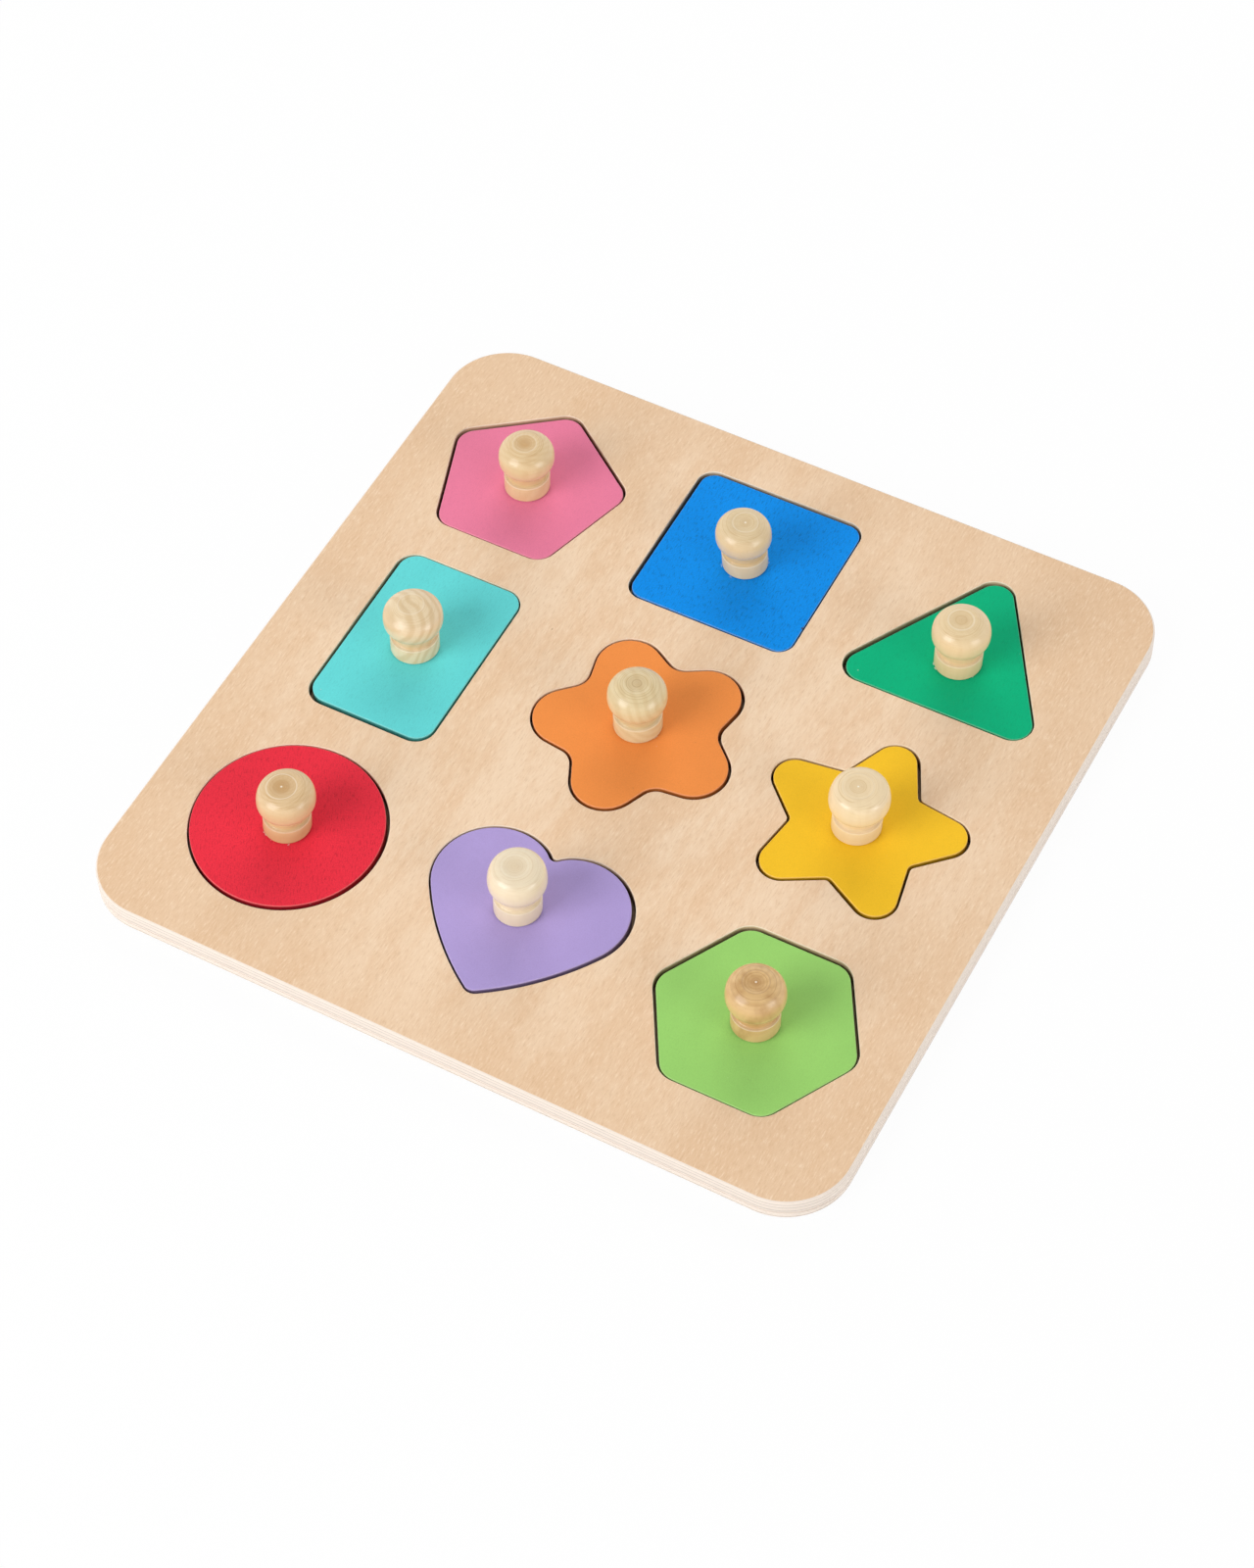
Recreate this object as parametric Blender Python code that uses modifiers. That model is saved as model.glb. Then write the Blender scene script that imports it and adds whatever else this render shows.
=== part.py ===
"""Wooden shape puzzle: nine painted shapes with turned knobs, each lying in its own recess in a board.

Lengths are in metres. X runs to the right, Y to the back, where the pentagon, the square and the
triangle lie, and Z up. The origin is the centre of the board's underside.
"""
import math
from dataclasses import dataclass

import bmesh
import bpy
from mathutils import Matrix, Vector

# Gaps
FACE_GAP = 0.0003            # between faces that touch on the real object
RECESS_CLEARANCE = 0.0011    # all round between a shape and its recess, when it lies in the middle

# The board: a plywood frame with nine cut-outs on a thin base
BOARD_SIDE = 0.300
BOARD_CORNER_RADIUS = 0.025
BASE_THICKNESS = 0.003
FRAME_THICKNESS = 0.0067
BOARD_EASING = 0.0005

# The shapes, cut from board of the frame's thickness
SHAPE_EASING = 0.0008

# The recesses, each drawn about its own middle and all a little askew on the board
LAYOUT_TURN = math.radians(0.5)
PENTAGON_RADIUS = 0.0402
PENTAGON_CORNER = 0.0083
SQUARE_SIDE = 0.0695
SQUARE_CORNER = 0.0070
TRIANGLE_BASE = 0.0887
TRIANGLE_HEIGHT = 0.0745
TRIANGLE_CORNER = 0.0081
RECTANGLE_WIDTH = 0.0531
RECTANGLE_DEPTH = 0.0791
RECTANGLE_CORNER = 0.0082
FLOWER_OUTER_RADIUS = 0.0608
FLOWER_INNER_RADIUS = 0.0290
FLOWER_PETAL_ROUNDING = 0.0138
FLOWER_VALLEY_ROUNDING = 0.0069
STAR_OUTER_RADIUS = 0.0525
STAR_INNER_RADIUS = 0.0258
STAR_TIP_ROUNDING = 0.0091
STAR_VALLEY_ROUNDING = 0.0021
CIRCLE_RADIUS = 0.0368
HEART_TIP_TO_MIDDLE = 0.0397
HEART_TIP_ROUNDING = 0.0049
HEART_SHOULDER_RADIUS = 0.0233
HEART_TOP_RADIUS = 0.0160
HEART_NOTCH_ROUNDING = 0.0017
HEART_FLANK_START = math.radians(33.0)     # headings, walked from the tip up the right-hand side
HEART_FLANK_END = math.radians(57.7)
HEART_SHOULDER_END = math.radians(204.7)
HEART_TOP_END = math.radians(225.1)
HEXAGON_RADIUS = 0.0407
HEXAGON_CORNER = 0.0095

# The turned knobs, at their mean height
KNOB_HEIGHT = 0.0242
KNOB_WIDEST_RADIUS = 0.01095
KNOB_WIDEST_HEIGHT = 0.0164
KNOB_DOME_POWER = 2.6        # of the superellipse from the widest place up to the flat on top
KNOB_BELLY_POWER = 2.2       # of the one from there down to the neck
KNOB_BELLY_DROP = 0.0073     # height of that one's quarter
KNOB_FACET_RADIUS = 0.0054   # the flat left by the lathe on top
KNOB_NECK_RADIUS = 0.0077
KNOB_BASE_RADIUS = 0.0090
KNOB_BASE_HEIGHT = 0.0073
KNOB_BASE_EASING = 0.0004

# The wood screws, from below through the shape into the knob
SCREW_RADIUS = 0.0015
SCREW_HEAD_RADIUS = 0.0030
SCREW_HEAD_SUNK = 0.0004
SCREW_HEAD_RIM = 0.0003
SCREW_BITE = 0.0100          # length of screw inside the knob
SCREW_POINT = 0.0018
BORE_SPARE = 0.0010          # of the knob's blind hole beyond the point of the screw

# Steps of round forms
ARC_DEPTH = 0.00012          # how far a chord may stand off the arc that it replaces
MINIMUM_ARC_STEPS = 3
DOME_STEPS = 4
BELLY_STEPS = 4
KNOB_STEPS = 20
SCREW_STEPS = 10
SHARP_ANGLE = math.radians(32.0)
WELD_DISTANCE = 0.00001

# Heights that follow
FRAME_BOTTOM = BASE_THICKNESS + FACE_GAP
SHAPE_BOTTOM = BASE_THICKNESS + FACE_GAP
SHAPE_THICKNESS = FRAME_THICKNESS
SHAPE_TOP = SHAPE_BOTTOM + SHAPE_THICKNESS
KNOB_BOTTOM = SHAPE_TOP + FACE_GAP
SCREW_TOP = KNOB_BOTTOM + SCREW_BITE


@dataclass(frozen=True)
class Arc:
    """A round stretch of an outline; straight stretches run from one arc's end to the next one's start."""

    centre: Vector
    radius: float
    start: float
    end: float
    hollow: bool

    def points(self, inset):
        """Points of the arc once the whole outline is drawn in by inset."""
        radius = self.radius + inset if self.hollow else self.radius - inset
        sweep = self.end - self.start
        widest_step = 2 * math.acos(1 - ARC_DEPTH / self.radius)
        steps = max(MINIMUM_ARC_STEPS, math.ceil(abs(sweep) / widest_step))
        angles = [self.start + sweep * step / steps for step in range(steps + 1)]
        return [self.centre + radius * Vector((math.cos(a), math.sin(a))) for a in angles]


def turned(vector):
    """The vector turned a quarter turn counter-clockwise."""
    return Vector((-vector.y, vector.x))


def fillet(before, corner, after, radius):
    """The arc that rounds a corner between two straight edges."""
    along = (corner - before).normalized()
    onward = (after - corner).normalized()
    turn = math.atan2(along.cross(onward), along.dot(onward))
    hollow = turn < 0
    side = -1.0 if hollow else 1.0
    reach = radius * math.tan(abs(turn) / 2)
    centre = corner - along * reach + turned(along) * radius * side
    first = -turned(along) * side
    start = math.atan2(first.y, first.x)
    return Arc(centre, radius, start, start + turn, hollow)


def rounded_polygon(corners, radii):
    """Arcs for a polygon, walked counter-clockwise, with one rounding radius for each corner."""
    arcs = []
    for index, corner in enumerate(corners):
        after = corners[(index + 1) % len(corners)]
        arcs.append(fillet(corners[index - 1], corner, after, radii[index]))
    return arcs


def polar(radius, angle):
    """The point at a radius and an angle about the middle of a figure."""
    return Vector((radius * math.cos(angle), radius * math.sin(angle)))


def regular(sides, radius, corner_radius, first_angle):
    """A regular polygon with rounded corners."""
    corners = [polar(radius, first_angle + math.tau * side / sides) for side in range(sides)]
    return rounded_polygon(corners, [corner_radius] * sides)


def rayed(rays, outer, inner, tip_rounding, valley_rounding, first_angle):
    """A star or flower: rays with rounded tips and rounded valleys between them."""
    corners = []
    for ray in range(rays):
        angle = first_angle + math.tau * ray / rays
        corners.append(polar(outer, angle))
        corners.append(polar(inner, angle + math.pi / rays))
    return rounded_polygon(corners, [tip_rounding, valley_rounding] * rays)


def rectangle(width, depth, corner_radius):
    """A rectangle with rounded corners about its middle."""
    half_width = width / 2
    half_depth = depth / 2
    corners = [
        Vector((half_width, -half_depth)),
        Vector((half_width, half_depth)),
        Vector((-half_width, half_depth)),
        Vector((-half_width, -half_depth)),
    ]
    return rounded_polygon(corners, [corner_radius] * 4)


def triangle(base, height, corner_radius):
    """An upright triangle with rounded corners about its centre of area."""
    below = -height / 3
    corners = [
        Vector((-base / 2, below)),
        Vector((base / 2, below)),
        Vector((0.0, below + height)),
    ]
    return rounded_polygon(corners, [corner_radius] * 3)


def circle(radius):
    """A full circle."""
    return [Arc(Vector((0.0, 0.0)), radius, 0.0, math.tau, False)]


def heart():
    """A heart: arcs that run into each other, from the tip up the right-hand side to the notch."""
    runs = [
        (HEART_TIP_ROUNDING, 0.0, HEART_FLANK_START),
        (0.0, HEART_FLANK_START, HEART_FLANK_END),
        (HEART_SHOULDER_RADIUS, HEART_FLANK_END, HEART_SHOULDER_END),
        (HEART_TOP_RADIUS, HEART_SHOULDER_END, HEART_TOP_END),
        (-HEART_NOTCH_ROUNDING, HEART_TOP_END, math.pi),
    ]
    # The flank's radius is the one that ends the walk on the heart's middle line.
    drift = sum(radius * (math.sin(end) - math.sin(start)) for radius, start, end in runs)
    flank_radius = -drift / (math.sin(HEART_FLANK_END) - math.sin(HEART_FLANK_START))
    runs[1] = (flank_radius, HEART_FLANK_START, HEART_FLANK_END)
    here = Vector((0.0, -HEART_TIP_TO_MIDDLE))
    right = []
    for radius, start, end in runs:
        centre = here + radius * Vector((-math.sin(start), math.cos(start)))
        here = centre + radius * Vector((math.sin(end), -math.cos(end)))
        hollow = radius < 0
        lean = math.pi / 2 if hollow else -math.pi / 2
        right.append(Arc(centre, abs(radius), start + lean, end + lean, hollow))
    left = []
    for arc in reversed(right):
        centre = Vector((-arc.centre.x, arc.centre.y))
        left.append(Arc(centre, arc.radius, math.pi - arc.end, math.pi - arc.start, arc.hollow))
    return right + left


def outline_points(arcs, inset):
    """The outline's points, counter-clockwise, with points that coincide left out."""
    points = []
    for arc in arcs:
        for point in arc.points(inset):
            if not points or (point - points[-1]).length > WELD_DISTANCE:
                points.append(point)
    if (points[0] - points[-1]).length <= WELD_DISTANCE:
        points.pop()
    return points


@dataclass(frozen=True)
class Shape:
    """One shape of the puzzle: where its recess is, how it lies in it and what colour it has."""

    name: str
    centre: tuple            # from the middle of the board, in shares of its side
    rest: tuple              # off the middle of the recess, in shares of the clearance
    rest_turn: float         # how far it lies turned in its recess, in degrees
    knob_off: tuple          # from the middle of the shape to the axis of its knob
    knob_stretch: float      # how much taller than the mean this shape's knob is
    arcs: list
    colour: tuple
    knob_colour: tuple

    @property
    def recess_centre(self):
        """The middle of the recess on the board."""
        return Vector(self.centre) * BOARD_SIDE

    @property
    def turn(self):
        """How far the shape lies turned on the board."""
        return LAYOUT_TURN + math.radians(self.rest_turn)

    @property
    def axis(self):
        """Where the axis of the knob stands, with the shape as it lies."""
        middle = self.recess_centre + Vector(self.rest) * RECESS_CLEARANCE
        return middle + Matrix.Rotation(self.turn, 2) @ Vector(self.knob_off)


UP = math.pi / 2

SHAPES = [
    Shape(
        "pentagon", (-0.3191, 0.3021), (0.36, -0.60), 0.0, (-0.0003, 0.0), 0.99,
        regular(5, PENTAGON_RADIUS, PENTAGON_CORNER, UP),
        (0.80, 0.19, 0.34), (0.82, 0.66, 0.42),
    ),
    Shape(
        "square", (-0.0119, 0.3170), (0.47, -0.36), -0.1, (-0.0001, -0.0006), 0.96,
        rectangle(SQUARE_SIDE, SQUARE_SIDE, SQUARE_CORNER),
        (0.007, 0.22, 0.79), (0.80, 0.67, 0.46),
    ),
    Shape(
        "triangle", (0.2951, 0.2924), (0.55, -0.42), 0.1, (-0.0002, 0.0006), 1.015,
        triangle(TRIANGLE_BASE, TRIANGLE_HEIGHT, TRIANGLE_CORNER),
        (0.005, 0.42, 0.20), (0.85, 0.70, 0.48),
    ),
    Shape(
        "rectangle", (-0.3144, 0.0049), (0.15, 0.59), -0.2, (-0.0003, -0.0004), 1.01,
        rectangle(RECTANGLE_WIDTH, RECTANGLE_DEPTH, RECTANGLE_CORNER),
        (0.10, 0.64, 0.63), (0.84, 0.68, 0.48),
    ),
    Shape(
        "flower", (-0.0053, 0.0239), (-0.3, 0.25), 0.3, (-0.0010, 0.0001), 1.01,
        rayed(
            5, FLOWER_OUTER_RADIUS, FLOWER_INNER_RADIUS,
            FLOWER_PETAL_ROUNDING, FLOWER_VALLEY_ROUNDING, -UP,
        ),
        (0.84, 0.24, 0.055), (0.78, 0.67, 0.45),
    ),
    Shape(
        "star", (0.2983, 0.0103), (-0.14, 0.26), 0.4, (-0.0008, 0.0), 0.98,
        rayed(
            5, STAR_OUTER_RADIUS, STAR_INNER_RADIUS,
            STAR_TIP_ROUNDING, STAR_VALLEY_ROUNDING, UP,
        ),
        (0.90, 0.52, 0.02), (0.88, 0.76, 0.56),
    ),
    Shape(
        "circle", (-0.3119, -0.3039), (-0.56, 0.38), 0.0, (0.0, 0.0), 0.95,
        circle(CIRCLE_RADIUS),
        (0.82, 0.028, 0.055), (0.80, 0.63, 0.42),
    ),
    Shape(
        "heart", (-0.0017, -0.2785), (-0.5, 0.08), -0.2, (-0.0014, -0.0003), 1.04,
        heart(),
        (0.43, 0.33, 0.68), (0.88, 0.78, 0.58),
    ),
    Shape(
        "hexagon", (0.3133, -0.2899), (0.34, -0.6), -0.2, (0.0, -0.0001), 1.03,
        regular(6, HEXAGON_RADIUS, HEXAGON_CORNER, 0.0),
        (0.30, 0.66, 0.17), (0.70, 0.46, 0.22),
    ),
]


def material(name, colour, roughness, metallic=0.0):
    """A material of one colour."""
    finish = bpy.data.materials.new(name)
    finish.use_nodes = True
    shader = finish.node_tree.nodes["Principled BSDF"]
    shader.inputs["Base Color"].default_value = (*colour, 1.0)
    shader.inputs["Roughness"].default_value = roughness
    shader.inputs["Metallic"].default_value = metallic
    finish.diffuse_color = (*colour, 1.0)
    return finish


def collection(name):
    """A new collection in the scene."""
    made = bpy.data.collections.new(name)
    bpy.context.scene.collection.children.link(made)
    return made


def empty(name, location, turn, parts):
    """An empty that carries the pieces of one moving set on their common axis."""
    carrier = bpy.data.objects.new(name, None)
    carrier.location = location
    carrier.rotation_euler.z = turn
    carrier.empty_display_size = BASE_THICKNESS
    parts.objects.link(carrier)
    return carrier


def flat_solid(name, outlines, thickness, parts):
    """A flat solid from closed outlines, the first one outside and the others holes, on z = 0."""
    curve = bpy.data.curves.new(name, "CURVE")
    curve.dimensions = "2D"
    curve.fill_mode = "BOTH"
    curve.extrude = thickness / 2
    for outline in outlines:
        spline = curve.splines.new("POLY")
        spline.points.add(len(outline) - 1)
        for spline_point, point in zip(spline.points, outline):
            spline_point.co = (point.x, point.y, 0.0, 1.0)
        spline.use_cyclic_u = True
    drawn = bpy.data.objects.new(name + "_outline", curve)
    drawn.location.z = thickness / 2
    parts.objects.link(drawn)
    bpy.context.view_layer.update()
    graph = bpy.context.evaluated_depsgraph_get()
    mesh = bpy.data.meshes.new_from_object(drawn.evaluated_get(graph))
    mesh.name = name
    mesh.transform(drawn.matrix_world)
    cage = bmesh.new()
    cage.from_mesh(mesh)
    bmesh.ops.remove_doubles(cage, verts=cage.verts, dist=WELD_DISTANCE)
    bmesh.ops.recalc_face_normals(cage, faces=cage.faces)
    cage.to_mesh(mesh)
    cage.free()
    bpy.data.objects.remove(drawn)
    bpy.data.curves.remove(curve)
    solid = bpy.data.objects.new(name, mesh)
    parts.objects.link(solid)
    return solid


def ease(solid, width, segments):
    """Round a flat solid's edges over, top and bottom."""
    bevel = solid.modifiers.new("Eased edges", "BEVEL")
    bevel.width = width
    bevel.segments = segments
    bevel.limit_method = "ANGLE"
    bevel.angle_limit = SHARP_ANGLE


def turn_solid(name, profile, steps, parts):
    """A turned solid: a profile of (radius, height) points swept round the Z axis."""
    mesh = bpy.data.meshes.new(name)
    edges = [(index, index + 1) for index in range(len(profile) - 1)]
    mesh.from_pydata([(radius, 0.0, height) for radius, height in profile], edges, [])
    solid = bpy.data.objects.new(name, mesh)
    parts.objects.link(solid)
    screw = solid.modifiers.new("Turned", "SCREW")
    screw.steps = steps
    screw.render_steps = steps
    screw.use_merge_vertices = True
    screw.merge_threshold = WELD_DISTANCE
    screw.use_smooth_shade = True
    return solid


def smooth(solid):
    """Shade a mesh smooth across its round faces and flat across its sharp edges."""
    solid.data.shade_smooth()
    solid.data.set_sharp_from_angle(angle=SHARP_ANGLE)


def board_outline():
    """The outline of both boards."""
    return outline_points(rectangle(BOARD_SIDE, BOARD_SIDE, BOARD_CORNER_RADIUS), 0.0)


def frame_board(parts, wood):
    """The upper board, with a cut-out for each shape."""
    outlines = [board_outline()]
    askew = Matrix.Rotation(LAYOUT_TURN, 2)
    for shape in SHAPES:
        recess = outline_points(shape.arcs, 0.0)
        outlines.append([shape.recess_centre + askew @ point for point in recess])
    board = flat_solid("frame_board", outlines, FRAME_THICKNESS, parts)
    board.location.z = FRAME_BOTTOM
    ease(board, BOARD_EASING, 1)
    board.data.materials.append(wood)
    smooth(board)
    return board


def base_board(parts, wood):
    """The thin board under the frame, the floor of all the recesses."""
    board = flat_solid("base_board", [board_outline()], BASE_THICKNESS, parts)
    ease(board, BOARD_EASING, 1)
    board.data.materials.append(wood)
    smooth(board)
    return board


def screw_profile(grown, foot, top):
    """A countersunk screw's outline, from the end of its straight shank down to its head.

    The heights are measured from the shape's underside. With grown above zero the radii are those
    of the hole that the screw goes in.
    """
    rim_top = SCREW_HEAD_SUNK + SCREW_HEAD_RIM
    cone_top = rim_top + SCREW_HEAD_RADIUS - SCREW_RADIUS
    radius = SCREW_RADIUS + grown
    head_radius = SCREW_HEAD_RADIUS + grown
    return [
        (radius, top),
        (radius, cone_top),
        (head_radius, rim_top),
        (head_radius, foot),
        (0.0, foot),
    ]


def shape_piece(shape, carrier, parts, cutters):
    """The painted shape, with the hole for its screw."""
    knob_off = Vector(shape.knob_off)
    outline = [point - knob_off for point in outline_points(shape.arcs, RECESS_CLEARANCE)]
    piece = flat_solid(shape.name + "_piece", [outline], SHAPE_THICKNESS, parts)
    piece.parent = carrier
    ease(piece, SHAPE_EASING, 2)
    beyond = SHAPE_THICKNESS + BORE_SPARE
    profile = [(0.0, beyond)] + screw_profile(FACE_GAP, -BORE_SPARE, beyond)
    cutter = turn_solid(shape.name + "_screw_hole", profile, SCREW_STEPS, cutters)
    cutter.parent = carrier
    cutter.hide_render = True
    cutter.display_type = "WIRE"
    hole = piece.modifiers.new("Screw hole", "BOOLEAN")
    hole.operation = "DIFFERENCE"
    hole.solver = "EXACT"
    hole.object = cutter
    piece.data.materials.append(material(shape.name + "_paint", shape.colour, 0.42))
    smooth(piece)
    return piece


def knob_quarter(reach, power, narrowest, steps):
    """A superellipse's quarter from its widest place to a smaller radius, as (radius, rise)."""
    last = math.acos((narrowest / KNOB_WIDEST_RADIUS) ** (power / 2))
    points = []
    for step in range(steps + 1):
        angle = last * step / steps
        radius = KNOB_WIDEST_RADIUS * math.cos(angle) ** (2 / power)
        points.append((radius, reach * math.sin(angle) ** (2 / power)))
    return points


def knob(shape, carrier, parts):
    """The turned knob: a flattened ball on a neck and a straight base with a blind hole."""
    rise = KNOB_HEIGHT - KNOB_WIDEST_HEIGHT
    facet_share = (KNOB_FACET_RADIUS / KNOB_WIDEST_RADIUS) ** KNOB_DOME_POWER
    dome_reach = rise / (1 - facet_share) ** (1 / KNOB_DOME_POWER)
    dome = knob_quarter(dome_reach, KNOB_DOME_POWER, KNOB_FACET_RADIUS, DOME_STEPS)
    belly = knob_quarter(-KNOB_BELLY_DROP, KNOB_BELLY_POWER, KNOB_NECK_RADIUS, BELLY_STEPS)
    outside = [(0.0, KNOB_HEIGHT)]
    outside += [(radius, KNOB_WIDEST_HEIGHT + height) for radius, height in reversed(dome)]
    outside += [(radius, KNOB_WIDEST_HEIGHT + height) for radius, height in belly[1:]]
    outside += [
        (KNOB_NECK_RADIUS, KNOB_BASE_HEIGHT + KNOB_BASE_EASING),
        (KNOB_BASE_RADIUS - KNOB_BASE_EASING, KNOB_BASE_HEIGHT),
        (KNOB_BASE_RADIUS, KNOB_BASE_HEIGHT - KNOB_BASE_EASING),
        (KNOB_BASE_RADIUS, 0.0),
    ]
    bore_radius = SCREW_RADIUS + FACE_GAP
    bore_depth = SCREW_BITE + BORE_SPARE
    profile = [(radius, height * shape.knob_stretch) for radius, height in outside]
    profile += [(bore_radius, 0.0), (bore_radius, bore_depth), (0.0, bore_depth)]
    turned_knob = turn_solid(shape.name + "_knob", profile, KNOB_STEPS, parts)
    turned_knob.parent = carrier
    turned_knob.location.z = KNOB_BOTTOM - SHAPE_BOTTOM
    turned_knob.data.materials.append(material(shape.name + "_knob_wood", shape.knob_colour, 0.38))
    return turned_knob


def wood_screw(shape, carrier, parts, steel):
    """The countersunk screw that holds the knob; its thread is left off."""
    top = SCREW_TOP - SHAPE_BOTTOM
    profile = [(0.0, top)] + screw_profile(0.0, SCREW_HEAD_SUNK, top - SCREW_POINT)
    fastener = turn_solid(shape.name + "_screw", profile, SCREW_STEPS, parts)
    fastener.parent = carrier
    fastener.data.materials.append(steel)
    return fastener


def clear_scene():
    """Remove whatever the scene holds."""
    for thing in list(bpy.data.objects):
        bpy.data.objects.remove(thing, do_unlink=True)


def build():
    """Build the whole puzzle."""
    clear_scene()
    parts = collection("wooden_shape_puzzle")
    cutters = collection("cutters")
    frame_board(parts, material("frame_birch", (0.80, 0.60, 0.38), 0.6))
    base_board(parts, material("base_birch", (0.86, 0.74, 0.58), 0.65))
    steel = material("zinc_steel", (0.62, 0.62, 0.60), 0.35, 1.0)
    for shape in SHAPES:
        carrier = empty(shape.name + "_set", (*shape.axis, SHAPE_BOTTOM), shape.turn, parts)
        shape_piece(shape, carrier, parts, cutters)
        knob(shape, carrier, parts)
        wood_screw(shape, carrier, parts, steel)


build()
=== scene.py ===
"""Looks of the wooden shape puzzle: nine painted shapes with turned knobs in a plywood board.

Lengths are in metres, in the frame of the CAD model: X runs to the right, Y to the back and Z up,
and the origin is the middle of the board's underside.
"""
import logging
import math
from dataclasses import dataclass, replace
from enum import Enum
from typing import Callable, Sequence

import bmesh
import bpy
from mathutils import Matrix, Vector


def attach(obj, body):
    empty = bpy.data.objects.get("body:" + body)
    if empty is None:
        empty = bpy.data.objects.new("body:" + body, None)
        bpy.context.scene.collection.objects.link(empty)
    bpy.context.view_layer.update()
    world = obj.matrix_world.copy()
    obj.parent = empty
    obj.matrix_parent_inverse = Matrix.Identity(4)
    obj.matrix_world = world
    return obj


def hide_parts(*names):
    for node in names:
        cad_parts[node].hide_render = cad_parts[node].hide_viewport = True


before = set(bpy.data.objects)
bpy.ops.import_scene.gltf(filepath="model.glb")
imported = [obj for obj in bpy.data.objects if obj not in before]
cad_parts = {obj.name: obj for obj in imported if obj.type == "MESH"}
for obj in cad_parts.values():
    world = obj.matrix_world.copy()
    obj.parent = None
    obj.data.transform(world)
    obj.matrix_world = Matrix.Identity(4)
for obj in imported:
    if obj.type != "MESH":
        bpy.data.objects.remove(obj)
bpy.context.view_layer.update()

LOG = logging.getLogger("shape_puzzle")

Colour = tuple[float, float, float]
Place = tuple[float, float, float]
Point = tuple[float, float]

ORIGIN: Place = (0.0, 0.0, 0.0)
UPWARDS: Place = (0.0, 0.0, 1.0)

# Heights of the CAD model
FACE_GAP = 0.0003
BASE_THICKNESS = 0.003
FRAME_THICKNESS = 0.0067
SHAPE_BOTTOM = BASE_THICKNESS + FACE_GAP
SHAPE_TOP = SHAPE_BOTTOM + FRAME_THICKNESS
KNOB_BOTTOM = SHAPE_TOP + FACE_GAP

# How the CAD model lays its shapes out
RECESS_CLEARANCE = 0.0011
LAYOUT_TURN = math.radians(0.5)

# The heart's arcs from its tip up to its notch, which is hollow: their radii, and the headings at
# which its flank, its lobe and the slope above it start or end, in degrees
HEART_RADII = (0.0049, 0.0233, 0.0160, -0.0017)
HEART_HEADINGS = (33.0, 57.7, 204.7, 225.1)

ARC_DEPTH = 0.000012         # how far a chord may stand off the arc that it replaces
LEAST_ARC_STEPS = 6
WELD = 0.000001
AXIS_WELD = 0.00001          # the same for points that a lathe leaves on its axis
LEVEL_REACH = 0.000005       # points this close in height are on one level
SPECK = 0.001                # size of the plane that is merged into a pen's first point
OVERRUN = 0.001              # how far a cutter stands out of what it cuts
SPARE = 0.0001               # flat left beside a rounding
WALL_TILT = 0.1              # a face this much off upright still counts as a wall
FLAT_TILT = 0.93             # a face whose normal rises more than this is a flat
SMOOTH_ANGLE = math.radians(32.0)
UP = math.pi / 2             # the way to the board's back, and a quarter turn


class Wire:
    """A value on its way through a node tree. Arithmetic on it adds Math nodes."""

    def __init__(self, tree: "Tree", socket: bpy.types.NodeSocket) -> None:
        """Hold an output of one of the tree's nodes."""
        self.tree = tree
        self.socket = socket

    def _math(self, operation: str, first: object, second: object) -> "Wire":
        """Add one Math node.

        Args:
            operation: The Math node's operation.
            first: Its first value, a Wire or a number.
            second: Its second value, a Wire or a number.

        Returns:
            The node's result.
        """
        return self.tree.node("ShaderNodeMath", {"operation": operation}, {0: first, 1: second})

    def __add__(self, other: object) -> "Wire":
        """This plus other."""
        return self._math("ADD", self, other)

    __radd__ = __add__

    def __sub__(self, other: object) -> "Wire":
        """This less other."""
        return self._math("SUBTRACT", self, other)

    def __rsub__(self, other: object) -> "Wire":
        """Other less this."""
        return self._math("SUBTRACT", other, self)

    def __mul__(self, other: object) -> "Wire":
        """This times other."""
        return self._math("MULTIPLY", self, other)

    __rmul__ = __mul__

    def __truediv__(self, other: object) -> "Wire":
        """This over other."""
        return self._math("DIVIDE", self, other)

    def __abs__(self) -> "Wire":
        """This without its sign."""
        return self.tree.node("ShaderNodeMath", {"operation": "ABSOLUTE"}, {0: self})

    def sine(self) -> "Wire":
        """The sine of this angle."""
        return self.tree.node("ShaderNodeMath", {"operation": "SINE"}, {0: self})

    def swing(self, reach: float) -> "Wire":
        """A noise between 0 and 1, as an offset of up to half of reach either way."""
        return (self - 0.5) * reach


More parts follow.
